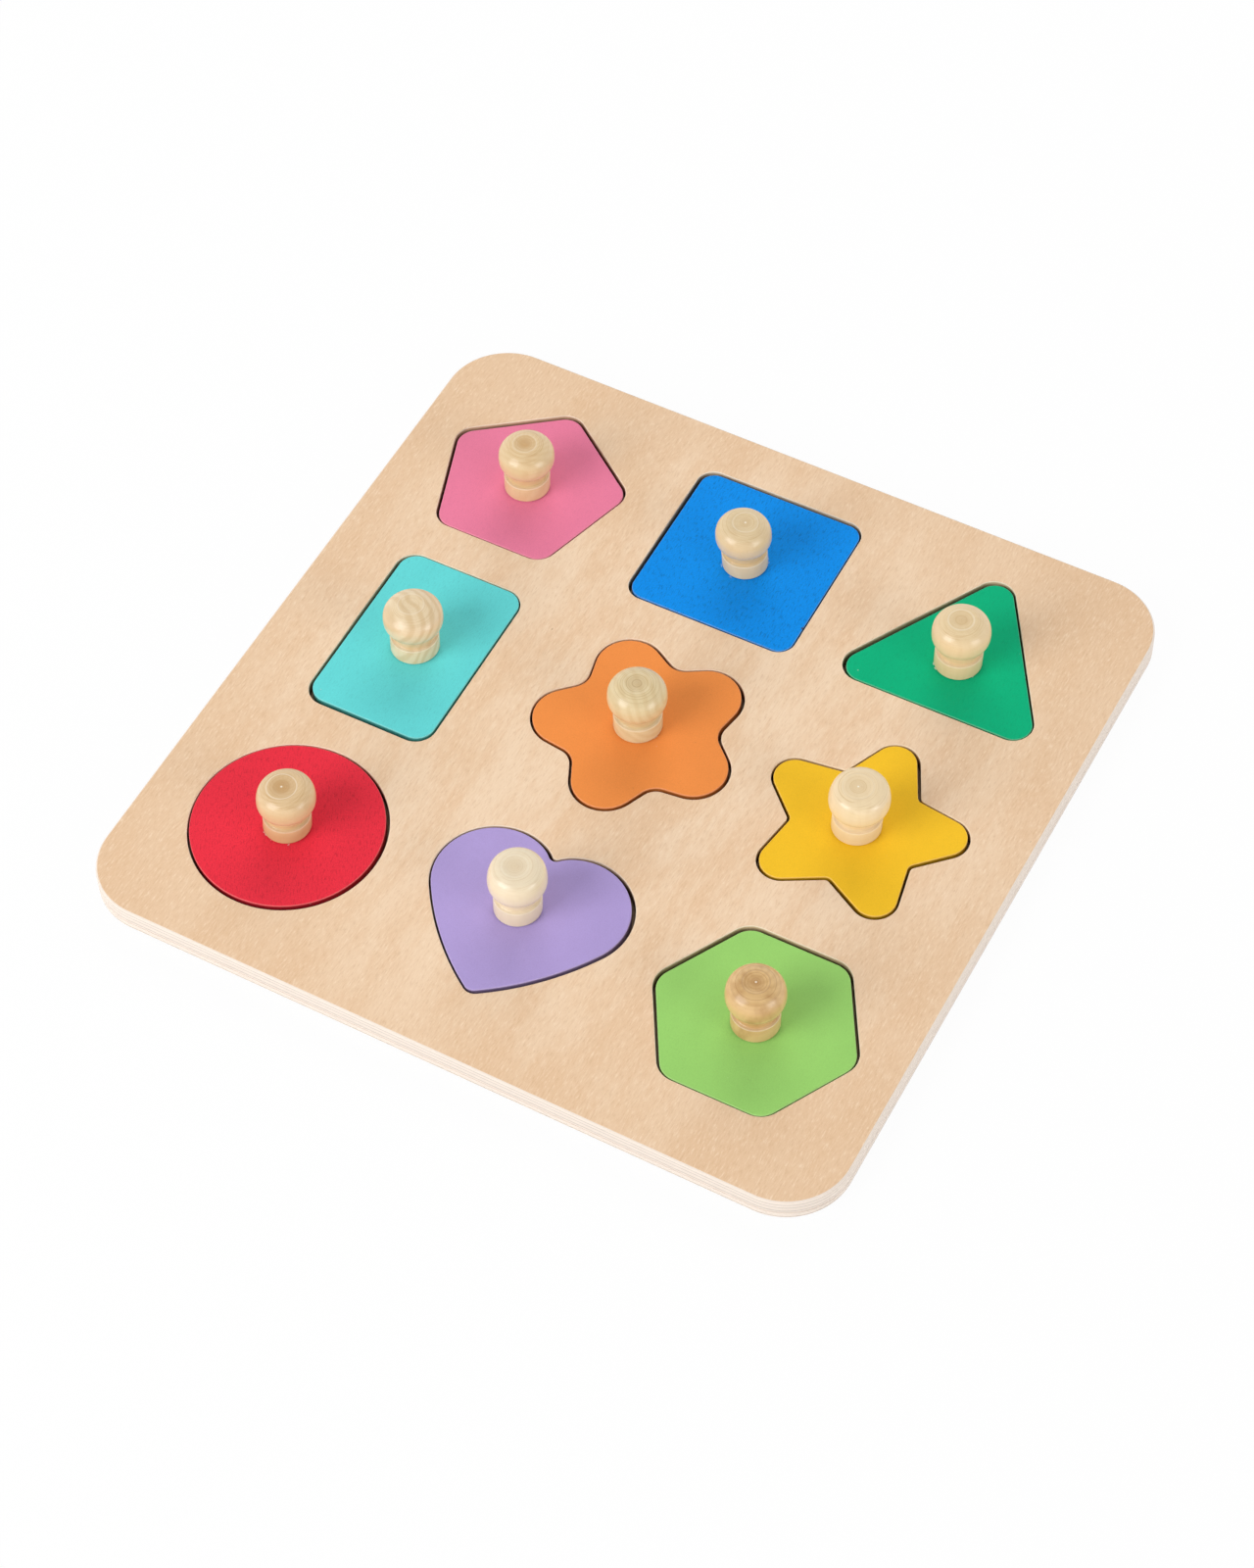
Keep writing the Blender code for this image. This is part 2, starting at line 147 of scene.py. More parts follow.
class Tree:
    """A node tree that is built up from values and Wires."""

    def __init__(self, tree: bpy.types.NodeTree) -> None:
        """Hold the tree of a material or a world."""
        self.tree = tree

    def node(self, kind: str, settings: dict | None = None, values: dict | None = None,
             result: int | str = 0) -> Wire:
        """Add a node.

        Args:
            kind: The node's type.
            settings: Properties of the node, set before its sockets.
            values: Numbers, vectors or Wires for its inputs, by name or number.
            result: The output to return.

        Returns:
            The chosen output.
        """
        made = self.tree.nodes.new(kind)
        for key, setting in (settings or {}).items():
            setattr(made, key, setting)
        for key, value in (values or {}).items():
            self.feed(made.inputs[key], value)
        return Wire(self, made.outputs[result])

    def beside(self, wire: Wire, result: int | str) -> Wire:
        """Another output of the node that a Wire comes from."""
        return Wire(self, wire.socket.node.outputs[result])

    def feed(self, socket: bpy.types.NodeSocket, value: object) -> None:
        """Give a socket its value.

        Args:
            socket: An input.
            value: A Wire to link, or a number or vector to set.
        """
        if isinstance(value, Wire):
            self.tree.links.new(value.socket, socket)
        elif hasattr(socket.default_value, "__len__") and len(socket.default_value) == 4:
            socket.default_value = (*value[:3], 1.0)
        else:
            socket.default_value = value

    def band(self, value: Wire, low: float, high: float, start: float = 0.0,
             end: float = 1.0) -> Wire:
        """A smooth step.

        Args:
            value: What is stepped.
            low: Value at which the step starts.
            high: Value at which it ends.
            start: Result below the step.
            end: Result above it.

        Returns:
            The stepped value.
        """
        settings = {"interpolation_type": "SMOOTHSTEP"}
        values = {"Value": value, "From Min": low, "From Max": high, "To Min": start, "To Max": end}
        return self.node("ShaderNodeMapRange", settings, values)

    def parts_of(self, place: Wire) -> tuple[Wire, Wire, Wire]:
        """The X, the Y and the Z of a vector."""
        x = self.node("ShaderNodeSeparateXYZ", None, {0: place})
        return x, self.beside(x, 1), self.beside(x, 2)

    def length(self, x: Wire, y: Wire) -> Wire:
        """The length of a vector with two parts."""
        return self.node("ShaderNodeMath", {"operation": "SQRT"}, {0: x * x + y * y})

    def background_ray(self) -> Wire:
        """Tell the rays that show the background itself from the rest.

        Returns:
            1 for a ray that shows it straight on, in gloss or through glass.
        """
        straight = self.node("ShaderNodeLightPath", None, None, "Is Camera Ray")
        gloss = self.beside(straight, "Is Glossy Ray")
        through = self.beside(straight, "Is Transmission Ray")
        any_of_them = straight + gloss + through
        return self.node("ShaderNodeMath", {"operation": "MINIMUM"}, {0: any_of_them, 1: 1.0})


@dataclass(frozen=True)
class Grain:
    """A noise with its own scale along each axis, in repeats per metre."""

    scale: Place
    detail: float = 2.0          # number of finer layers
    roughness: float = 0.5       # weight of the finer layers


@dataclass(frozen=True)
class Spots:
    """Round spots scattered over cells, with a scale in cells per metre."""

    scale: Place
    size: float                  # radius of a spot, in cells
    share: float                 # share of the cells that have one


@dataclass(frozen=True)
class Tint:
    """A colour that a finish takes on as a value passes through a band."""

    colour: Colour
    band: Point                  # where the colour starts, and where it is at its full
    share: float = 1.0           # how strong it is at its full


def off(level: float, band: Point) -> Point:
    """A band that is given off a level, as a band of heights."""
    return level + band[0], level + band[1]


class Recipe(Tree):
    """The nodes of one finish, built up from Object coordinates."""

    SPOT_CORE = 0.4              # share of a spot's radius within which it is at its full
    MARK_CORE = 0.5              # the same for a single mark
    CHANCE_STEP = 0.9            # where the choice of a cell is full, against where it starts

    def __init__(self, name: str) -> None:
        """Start a material with its shader and its coordinates.

        Args:
            name: Name of the material.
        """
        self.material = bpy.data.materials.new(name)
        self.material.use_nodes = True
        super().__init__(self.material.node_tree)
        self.shader = self.tree.nodes["Principled BSDF"]
        self.place = self.node("ShaderNodeTexCoord", None, None, "Object")

    def mapped(self, scale: Place = (1.0, 1.0, 1.0), shift: Place = ORIGIN, turn: Place = ORIGIN,
               place: Wire | None = None) -> Wire:
        """The coordinates with a pattern's own scale.

        Args:
            scale: Repeats per metre along each axis.
            shift: How far the pattern is moved, after the scale.
            turn: Angles that the pattern is turned by.
            place: Coordinates to start from instead of the object's.

        Returns:
            The mapped coordinates.
        """
        return self.node("ShaderNodeMapping", None, {
            "Vector": place or self.place, "Location": shift, "Rotation": turn, "Scale": scale})

    def joined(self, x: object, y: object, z: object) -> Wire:
        """The vector with these parts, each a Wire or a number."""
        return self.node("ShaderNodeCombineXYZ", None, {0: x, 1: y, 2: z})

    def noise(self, place: Wire, detail: float, roughness: float) -> Wire:
        """Noise between about 0 and 1.

        Args:
            place: Coordinates, one repeat per unit.
            detail: Number of finer layers.
            roughness: Weight of the finer layers.

        Returns:
            The noise.
        """
        values = {"Vector": place, "Scale": 1.0, "Detail": detail, "Roughness": roughness}
        return self.node("ShaderNodeTexNoise", None, values)

    def grain(self, kind: Grain, shift: Place = ORIGIN, place: Wire | None = None) -> Wire:
        """The noise of a grain, between about 0 and 1.

        Args:
            kind: The grain.
            shift: How far it is moved, after its scale.
            place: Coordinates to start from instead of the object's.

        Returns:
            The noise.
        """
        return self.noise(self.mapped(kind.scale, shift, place=place), kind.detail, kind.roughness)

    def spots(self, kind: Spots, shift: Place = ORIGIN) -> Wire:
        """Scattered spots.

        Args:
            kind: The spots.
            shift: How far they are moved, after their scale.

        Returns:
            1 in a spot and 0 between them.
        """
        values = {"Vector": self.mapped(kind.scale, shift), "Scale": 1.0}
        cell = self.node("ShaderNodeTexVoronoi", {"feature": "F1"}, values)
        chance = self.node("ShaderNodeSeparateColor", None, {0: self.beside(cell, "Color")})
        chosen = self.band(chance, kind.share, kind.share * self.CHANCE_STEP)
        return self.band(cell, kind.size, kind.size * self.SPOT_CORE) * chosen

    def near(self, to: Place, reach: float) -> Wire:
        """A soft mark at one place.

        Args:
            to: The place.
            reach: Radius of the mark.

        Returns:
            1 in the mark and 0 away from it.
        """
        settings = {"operation": "DISTANCE"}
        away = self.node("ShaderNodeVectorMath", settings, {0: self.place, 1: to}, "Value")
        return self.band(away, reach, reach * self.MARK_CORE)

    def mix(self, factor: object, first: object, second: object) -> Wire:
        """Mix two colours.

        Args:
            factor: Share of the second colour, a Wire or a number.
            first: The first colour.
            second: The second colour.

        Returns:
            The mixed colour.
        """
        settings = {"data_type": "RGBA"}
        return self.node("ShaderNodeMix", settings, {0: factor, 6: first, 7: second}, 2)

    def tinted(self, colour: object, value: Wire, tint: Tint) -> Wire:
        """A colour tinted as a value passes through a band.

        Args:
            colour: The colour.
            value: The value.
            tint: The tint with its band.

        Returns:
            The new colour.
        """
        return self.mix(self.band(value, *tint.band) * tint.share, colour, tint.colour)

    def shaded(self, colour: object, factor: Wire) -> Wire:
        """A colour made lighter or darker.

        Args:
            colour: The colour.
            factor: A value around 1 that it is multiplied by.

        Returns:
            The new colour.
        """
        grey = self.node("ShaderNodeCombineColor", None, {0: factor, 1: factor, 2: factor})
        settings = {"data_type": "RGBA", "blend_type": "MULTIPLY"}
        return self.node("ShaderNodeMix", settings, {0: 1.0, 6: colour, 7: grey}, 2)

    def surface(self, colour: Wire, roughness: object, relief: Wire | None = None,
                depth: float = 0.0, **constants: float) -> bpy.types.Material:
        """Finish the material.

        Args:
            colour: The base colour.
            roughness: A Wire or a number.
            relief: Height of the surface's relief, between about 0 and 1.
            depth: What the relief is worth in metres.
            constants: Other inputs of the shader, with underscores for spaces.

        Returns:
            The material.
        """
        self.feed(self.shader.inputs["Base Color"], colour)
        self.feed(self.shader.inputs["Roughness"], roughness)
        if relief is not None:
            bump = self.node("ShaderNodeBump", None, {"Distance": depth, "Height": relief})
            self.feed(self.shader.inputs["Normal"], bump)
        for key, value in constants.items():
            self.shader.inputs[key.replace("_", " ")].default_value = value
        return self.material


@dataclass(frozen=True)
class Veneer:
    """Rotary-cut birch: pale tan, with short fine fibres and soft low mottling."""

    name: str
    seed: float = 0.0
    pale: Colour = (0.865, 0.655, 0.460)
    tan: Tint = Tint((0.800, 0.555, 0.355), (0.37, 0.65))
    outer_tint: Tint = Tint((0.760, 0.520, 0.325), (0.085, 0.190), 0.75)   # darker further out from the middle
    fibre: Tint = Tint((0.640, 0.410, 0.240), (0.51, 0.70), 0.46)
    pale_tint: Tint = Tint((0.930, 0.740, 0.560), (0.48, 0.30), 0.60)
    speck: Colour = (0.330, 0.180, 0.090)
    speck_share: float = 0.6
    wander: Grain = Grain((14.0, 4.0, 4.0))
    wander_reach: float = 0.012  # how far the streaks swing to the side
    streaks: Grain = Grain((330.0, 80.0, 60.0), 3.0, 0.6)
    broad: Grain = Grain((46.0, 17.0, 14.0))
    broad_share: float = 0.55    # weight of the broad streaks, against the fine ones
    outer_scatter: float = 0.06
    fibres: Grain = Grain((1500.0, 260.0, 300.0), 3.0, 0.75)
    pores: Spots = Spots((170.0, 80.0, 80.0), 0.055, 0.05)
    roughness: float = 0.52
    fibre_roughness: float = 0.12    # what the fibres add to it
    fibre_relief: float = 0.7    # weight of the fibres in the relief, against the streaks
    depth: float = 0.00004
    specular: float = 0.25

    def make(self) -> bpy.types.Material:
        """Make the material.

        Returns:
            The material.
        """
        r = Recipe(self.name)
        shift = (self.seed, self.seed, 0.0)
        x, y, z = r.parts_of(r.place)
        bent = r.joined(x + r.grain(self.wander, shift) * self.wander_reach, y, z)
        streaks = r.grain(self.streaks, shift, bent)
        broad = r.grain(self.broad, shift, bent)
        mottle = streaks * (1.0 - self.broad_share) + broad * self.broad_share
        colour = r.tinted(self.pale, mottle, self.tan)
        colour = r.tinted(colour, r.length(x, y) + broad.swing(self.outer_scatter), self.outer_tint)
        fibres = r.grain(self.fibres, place=bent)
        colour = r.tinted(colour, fibres, self.fibre)
        colour = r.tinted(colour, fibres, self.pale_tint)
        colour = r.mix(r.spots(self.pores) * self.speck_share, colour, self.speck)
        rough = fibres * self.fibre_roughness + self.roughness
        relief = fibres * self.fibre_relief + streaks * (1.0 - self.fibre_relief)
        return r.surface(colour, rough, relief, self.depth, Specular_IOR_Level=self.specular)


@dataclass(frozen=True)
class PlyEdge:
    """The sawn and sanded edge of plywood: pale plies with thin grey glue lines."""

    name: str
    top: float
    glue_depths: tuple[float, ...]
    pale: Colour = (0.840, 0.755, 0.680)
    cross: Colour = (0.790, 0.680, 0.585)
    fibre: Tint = Tint((0.690, 0.560, 0.430), (0.50, 0.75), 0.30)
    glue: Colour = (0.360, 0.320, 0.280)
    glue_band: Point = (0.000192, 0.00006)   # off the middle of a glue line
    glue_share: float = 0.45
    glue_in_fibres: float = 0.5  # what the fibres add to it
    waver: Grain = Grain((60.0, 60.0, 60.0))
    waver_height: float = 0.0003
    fray: Grain = Grain((900.0, 900.0, 1500.0))
    fray_height: float = 0.00012
    fibres: Grain = Grain((1400.0, 1400.0, 3000.0), 3.0, 0.6)
    plies: Grain = Grain((130.0, 130.0, 4200.0), 3.0, 0.6)
    roughness: float = 0.66
    depth: float = 0.0001
    specular: float = 0.25

    def make(self) -> bpy.types.Material:
        """Make the material.

        Returns:
            The material.
        """
        r = Recipe(self.name)
        z = r.parts_of(r.place)[2]
        waver = r.grain(self.waver).swing(self.waver_height)
        level = z + waver + r.grain(self.fray).swing(self.fray_height)
        fibres = r.grain(self.fibres)
        plies = r.grain(self.plies)
        colour = r.tinted(r.mix(plies, self.pale, self.cross), fibres, self.fibre)
        for glue_depth in self.glue_depths:
            line = r.band(abs(level - (self.top - glue_depth)), *self.glue_band)
            share = line * (fibres * self.glue_in_fibres + self.glue_share)
            colour = r.mix(share, colour, self.glue)
        relief = (fibres + plies) * 0.5
        return r.surface(colour, self.roughness, relief, self.depth,
                         Specular_IOR_Level=self.specular)


@dataclass(frozen=True)
class RoutedEdge:
    """The wall of a recess: tan plies, darker towards the bottom as painted shade of the narrow
    gap.
    """

    name: str
    tan: Colour = (0.720, 0.520, 0.330)
    # Painted shade: the wall darkens towards the bottom, where the narrow gap shades it.
    depth_shade: Tint = Tint((0.280, 0.175, 0.100), off(SHAPE_TOP, (-0.0006, -0.0035)), 0.9)
    pale_tint: Tint = Tint((0.900, 0.780, 0.620), off(SHAPE_TOP, (-0.0006, -0.0003)))   # painted highlight on the arris, where light catches the top of the wall
    chatter: Grain = Grain((700.0, 700.0, 60.0), 2.0, 0.6)
    chatter_height: float = 0.0005
    plies: Grain = Grain((60.0, 60.0, 900.0))
    ply_contrast: float = 0.4
    roughness: float = 0.75
    depth: float = 0.00008
    specular: float = 0.2

    def make(self) -> bpy.types.Material:
        """Make the material.

        Returns:
            The material.
        """
        r = Recipe(self.name)
        chatter = r.grain(self.chatter)
        level = r.parts_of(r.place)[2] + chatter.swing(self.chatter_height)
        # Painted shade: darker with depth in the gap.
        colour = r.tinted(self.tan, level, self.depth_shade)
        # Painted highlight: paler on the arris.
        colour = r.tinted(colour, level, self.pale_tint)
        colour = r.shaded(colour, 1.0 + r.grain(self.plies).swing(self.ply_contrast))
        return r.surface(colour, self.roughness, chatter, self.depth,
                         Specular_IOR_Level=self.specular)


@dataclass(frozen=True)
class SatinPaint:
    """Satin paint on a sawn shape: open grain, specks and dust, a painted highlight along its rim
    and painted shade on its walls.
    """

    colour: Colour
    seed: float
    pores: float = 0.10          # how much the open grain shows, in short dashes
    specks: float = 0.25         # dark nibs
    dust: float = 0.25           # pale dust in the paint
    fine: float = 0.18           # fine unevenness of the coat
    torn: float = 0.0            # torn fibre and dry glue round the foot of the knob
    grain_turn: float = 0.0      # how far its grain is turned off the board's Y
    seed_slope: float = 0.7      # how far the patterns move along Y, against X
    nicks: tuple[Point, ...] = ()    # places of the dark nicks along its rim
    edge_highlight: float = 0.14         # painted highlight: how much paler the top of the rim is, where light catches the rounded edge
    wall_shade: float = 0.45         # painted shade: how much darker the walls are than the top, for the shade in the gap round the shape
    pale: Colour = (0.830, 0.780, 0.700)
    nib: Colour = (0.060, 0.040, 0.030)
    thin: Tint = Tint((0.300, 0.190, 0.110), off(SHAPE_TOP, (-0.0030, -0.0060)), 0.12)
    thin_scatter: float = 0.0020
    highlight_band: Point = off(SHAPE_TOP, (-0.00002, -0.00012))
    wall_band: Point = off(SHAPE_TOP, (-0.0003, -0.0009))
    peel: Grain = Grain((520.0, 520.0, 520.0))
    wood_grain: Grain = Grain((2000.0, 380.0, 900.0), 3.0, 0.65)
    open_band: Point = (0.50, 0.70)
    coat: Grain = Grain((2300.0, 1500.0, 1500.0))
    clouds: Grain = Grain((60.0, 34.0, 60.0), 3.0, 0.55)
    cloudiness: float = 0.14
    dust_spots: Spots = Spots((260.0, 260.0, 260.0), 0.10, 0.05)
    nib_spots: Spots = Spots((190.0, 190.0, 190.0), 0.09, 0.06)
    nib_shift: float = 3.3       # keeps the nibs off the pattern of the dust
    foot_band: Point = (0.0094, 0.0090)      # off the axis of the knob
    foot_scatter: float = 0.0010
    torn_grain: Grain = Grain((330.0, 330.0, 330.0), 2.0, 0.6)
    torn_band: Point = (0.58, 0.64)
    nick_depth: float = 0.0002
    nick_reach: float = 0.0007
    nick_share: float = 0.85
    roughness: float = 0.38
    cloud_roughness: float = 0.10
    peel_relief: float = 0.4     # weight of the peel in the relief, and of the dust
    grain_relief: float = 0.6    # weight of the open grain, which lies below
    depth: float = 0.00004
    specular: float = 0.12

    def make(self, name: str, axis: Vector) -> bpy.types.Material:
        """Make the material for one shape.

        Args:
            name: Name of the material.
            axis: Where the axis of the shape's knob stands.

        Returns:
            The material.
        """
        r = Recipe(name)
        shift = (self.seed, self.seed * self.seed_slope, 0.0)
        z = r.parts_of(r.place)[2]
        peel = r.grain(self.peel, shift)
        clouds = r.grain(self.clouds, shift)
        straight = r.mapped(turn=(0.0, 0.0, -self.grain_turn))
        open_grain = r.band(r.grain(self.wood_grain, shift, straight), *self.open_band)
        coat = r.grain(self.coat, shift, straight).swing(self.fine)
        tone = 1.0 + clouds.swing(self.cloudiness) + coat - open_grain * self.pores
        colour = r.shaded(self.colour, tone)
        dust = r.spots(self.dust_spots, shift)
        colour = r.mix(dust * self.dust, colour, self.pale)
        nibs = r.spots(self.nib_spots, (self.seed + self.nib_shift, 0.0, 0.0))
        colour = r.mix(nibs * self.specks, colour, self.nib)
        wall = r.band(z, *self.wall_band)
        # Painted highlight: the top of the rim is made paler, where light catches the rounded edge.
        rim = r.band(z, *self.highlight_band) * (1.0 - wall)
        colour = r.mix(rim * self.edge_highlight, colour, self.pale)
        # Painted shade: the walls are darkened for the shade in the narrow gap round the shape.
        colour = r.shaded(colour, 1.0 - wall * self.wall_shade)
        colour = r.tinted(colour, z + clouds.swing(self.thin_scatter), self.thin)
        off_x, off_y = r.parts_of(r.mapped(shift=(-axis.x, -axis.y, 0.0)))[:2]
        foot = r.band(r.length(off_x, off_y) + peel.swing(self.foot_scatter), *self.foot_band)
        patches = r.band(r.grain(self.torn_grain, shift), *self.torn_band)
        colour = r.mix(foot * patches * self.torn, colour, self.pale)
        for nick in self.nicks:
            mark = r.near((*nick, SHAPE_TOP - self.nick_depth), self.nick_reach)
            colour = r.mix(mark * self.nick_share, colour, self.nib)
        relief = (peel + dust) * self.peel_relief - open_grain * self.grain_relief
        rough = self.roughness + clouds.swing(self.cloud_roughness)
        return r.surface(colour, rough, relief, self.depth, Specular_IOR_Level=self.specular)


class Figure(Enum):
    """How the grain of a knob's wood runs: how far it leans, and how strong its rings are."""

    PLAIN = (0.15, 0.20)
    FAINT = (0.15, 0.10)
    STRIPED = (0.90, 0.50)
    CROSSED = (1.40, 0.30)
    DARK = (0.25, 0.28)


@dataclass(frozen=True)
class TurnedWood:
    """Varnished wood of a turned knob: growth rings in the solid, lathe lines round the axis."""

    figure: Figure
    pale: Colour
    late: Colour
    heart: Colour
    seed: float
    pith: Point = (0.030, 0.045)
    ring: float = 0.0034         # from one growth ring to the next
    mottle: float = 0.15         # darker clouds
    disc: float = 0.0042         # radius of the darker disc on top
    disc_share: float = 0.25
    turned: float = 0.35         # how much the lathe's rings show on top
    halo: float = 0.25           # pale ring round the disc
    pip: float = 0.0             # mark of the lathe's centre
    neck_shade: float = 0.5           # painted shade: tan band round the neck, under the overhang of the ball
    foot: float = 0.10           # how much darker the foot is
    fair: Colour = (0.900, 0.820, 0.680)
    cross_lean: float = 0.6      # how far the grain leans the other way, against the first
    ripple: Grain = Grain((90.0, 90.0, 22.0))
    ripple_reach: float = 1.3    # how far the rings waver, in rings
    ring_band: Point = (-0.7, 1.0)
    fibres: Grain = Grain((1500.0, 1500.0, 130.0), 3.0, 0.6)
    fibre_band: Point = (0.52, 0.78)
    fibre_share: float = 0.22
    clouds: Grain = Grain((150.0, 150.0, 80.0), 3.0)
    cloud_band: Point = (0.45, 0.75)
    lathe_scale: Point = (2600.0, 2200.0)    # off the axis, and along it
    lathe_detail: float = 2.0
    lathe_roughness: float = 0.6
    lathe_band: Point = (0.48, 0.66)
    lathe_share: float = 0.12
    flat_band: Point = (-0.0016, -0.0008)    # off the top, as the next is
    turned_band: Point = (-0.0030, -0.0012)
    disc_edge: float = 0.0005
    disc_core: float = 0.3       # share of the disc's radius within which it is darkest
    halo_gap: float = 0.0006     # from the disc to the middle of the pale ring
    halo_band: Point = (0.0004, 0.0001)
    pip_band: Point = (0.00050, 0.00025)
    waist_top: Point = (0.0046, 0.0022)      # off the base's rim, as the next four are
    waist_bottom: Point = (-0.0002, 0.0002)
    rim_bottom: Point = (-0.0007, -0.0003)
    rim_top: Point = (0.0001, -0.0001)
    foot_band: Point = (0.0030, -0.0040)
    foot_scatter: float = 0.0020
    # Painted highlight along the base's rim
    rim_highlight: float = 0.35
    lathe_relief: float = 0.6    # weight of the lathe lines in the relief, against the fibres
    roughness: float = 0.18
    fibre_roughness: float = 0.10
    depth: float = 0.00004
    specular: float = 0.5

    def make(self, name: str, axis: Vector, top: float, neck: float) -> bpy.types.Material:
        """Make the material for one knob.

        Args:
            name: Name of the material.
            axis: Where the knob's axis stands.
            top: Height of the flat on top over the knob's foot.
            neck: Height of the base's rim over the knob's foot.

        Returns:
            The material.
        """
        r = Recipe(name)
        shift = (self.seed, 0.0, 0.0)
        centred = r.mapped(shift=(-axis.x, -axis.y, -KNOB_BOTTOM))
        fibres = r.grain(self.fibres, shift, centred)
        clouds = r.grain(self.clouds, shift, centred)
        colour = self.ringed(r, centred, shift)
        colour = r.tinted(colour, fibres, Tint(self.late, self.fibre_band, self.fibre_share))
        colour = r.tinted(colour, clouds, Tint(self.heart, self.cloud_band, self.mottle))
        x, y, z = r.parts_of(centred)
        away = r.length(x, y)
        on_top = r.band(z, *off(top, self.flat_band))
        disc = r.band(away, self.disc + self.disc_edge, self.disc * self.disc_core) * on_top
        colour = r.mix(disc * self.disc_share, colour, self.heart)
        halo = r.band(abs(away - (self.disc + self.halo_gap)), *self.halo_band) * on_top
        colour = r.mix(halo * self.halo, colour, self.fair)
        # Painted shade round the neck, under the ball.
        neck_shade = r.band(z, *off(neck, self.waist_top)) * r.band(z, *off(neck, self.waist_bottom))
        colour = r.mix(neck_shade * self.neck_shade, colour, self.late)
        # Painted highlight: a pale line along the base's rim.
        rim = r.band(z, *off(neck, self.rim_bottom)) * r.band(z, *off(neck, self.rim_top))
        colour = r.mix(rim * self.rim_highlight, colour, self.fair)
        drawn = r.joined(away * self.lathe_scale[0], z * self.lathe_scale[1], self.seed)
        lathe = r.noise(drawn, self.lathe_detail, self.lathe_roughness)
        shown = self.lathe_share + r.band(z, *off(top, self.turned_band)) * self.turned
        colour = r.mix(r.band(lathe, *self.lathe_band) * shown, colour, self.heart)
        low = z + clouds.swing(self.foot_scatter)
        colour = r.tinted(colour, low, Tint(self.heart, off(neck, self.foot_band), self.foot))
        colour = r.mix(r.band(away, *self.pip_band) * on_top * self.pip, colour, self.fair)
        relief = lathe * self.lathe_relief + fibres * (1.0 - self.lathe_relief)
        rough = self.roughness + fibres * self.fibre_roughness
        return r.surface(colour, rough, relief, self.depth, Specular_IOR_Level=self.specular)

    def ringed(self, r: Recipe, centred: Wire, shift: Place) -> Wire:
        """The wood's colour with its growth rings.

        Args:
            r: The recipe that it is for.
            centred: Coordinates off the foot of the knob's axis.
            shift: How far its patterns are moved.

        Returns:
            The colour.
        """
        lean, share = self.figure.value
        leaning = r.mapped(turn=(lean, lean * self.cross_lean, 0.0), place=centred)
        x, y = r.parts_of(leaning)[:2]
        ripple = r.grain(self.ripple, shift, centred) * self.ripple_reach
        rings = r.length(x - self.pith[0], y - self.pith[1]) / self.ring + ripple
        wave = (rings * math.tau).sine()
        return r.tinted(self.pale, wave, Tint(self.late, self.ring_band, share))


@dataclass(frozen=True)
class ZincPlate:
    """Zinc on a steel screw."""

    name: str
    bright: Colour = (0.62, 0.62, 0.60)
    dull: Colour = (0.47, 0.48, 0.50)
    patches: Grain = Grain((900.0, 900.0, 900.0), 3.0, 0.6)
    roughness: float = 0.22
    patch_roughness: float = 0.25
    depth: float = 0.00002

    def make(self) -> bpy.types.Material:
        """Make the material.

        Returns:
            The material.
        """
        r = Recipe(self.name)
        patches = r.grain(self.patches)
        rough = patches * self.patch_roughness + self.roughness
        colour = r.mix(patches, self.bright, self.dull)
        return r.surface(colour, rough, patches, self.depth, Metallic=1.0)


@dataclass(frozen=True)
class PaperFloor:
    """White paper under the puzzle, which keeps a trace of the board's shadow."""

    name: str
    white: Colour = (0.90, 0.90, 0.90)
    fibre: Colour = (0.84, 0.84, 0.84)
    fibres: Grain = Grain((900.0, 900.0, 900.0))
    glow: float = 0.95           # share of plain white in what the camera sees of it
    roughness: float = 0.9
    specular: float = 0.1

    def make(self) -> bpy.types.Material:
        """Make the material.

        Returns:
            The material.
        """
        r = Recipe(self.name)
        colour = r.mix(r.grain(self.fibres), self.white, self.fibre)
        r.surface(colour, self.roughness, Specular_IOR_Level=self.specular)
        glow = r.node("ShaderNodeEmission", None, {"Color": (1.0, 1.0, 1.0), "Strength": 1.0})
        lit = Wire(r, r.shader.outputs[0])
        shares = {0: r.background_ray() * self.glow, 1: lit, 2: glow}
        mixed = r.node("ShaderNodeMixShader", None, shares)
        r.feed(r.tree.nodes["Material Output"].inputs["Surface"], mixed)
        return r.material


@dataclass(frozen=True)
class Arc:
    """A round stretch of an outline. Straight stretches run from one arc to the next."""

    centre: Vector
    radius: float
    start: float
    end: float
    hollow: bool = False

    def point(self, angle: float, inset: float) -> Vector:
        """Point of the arc at an angle, once the outline is drawn in by inset."""
        reach = self.radius + inset if self.hollow else self.radius - inset
        return self.centre + reach * Vector((math.cos(angle), math.sin(angle)))

    def steps(self) -> int:
        """Number of chords that follow the arc closely enough."""
        widest = 2 * math.acos(1 - ARC_DEPTH / self.radius)
        return max(LEAST_ARC_STEPS, math.ceil(abs(self.end - self.start) / widest))


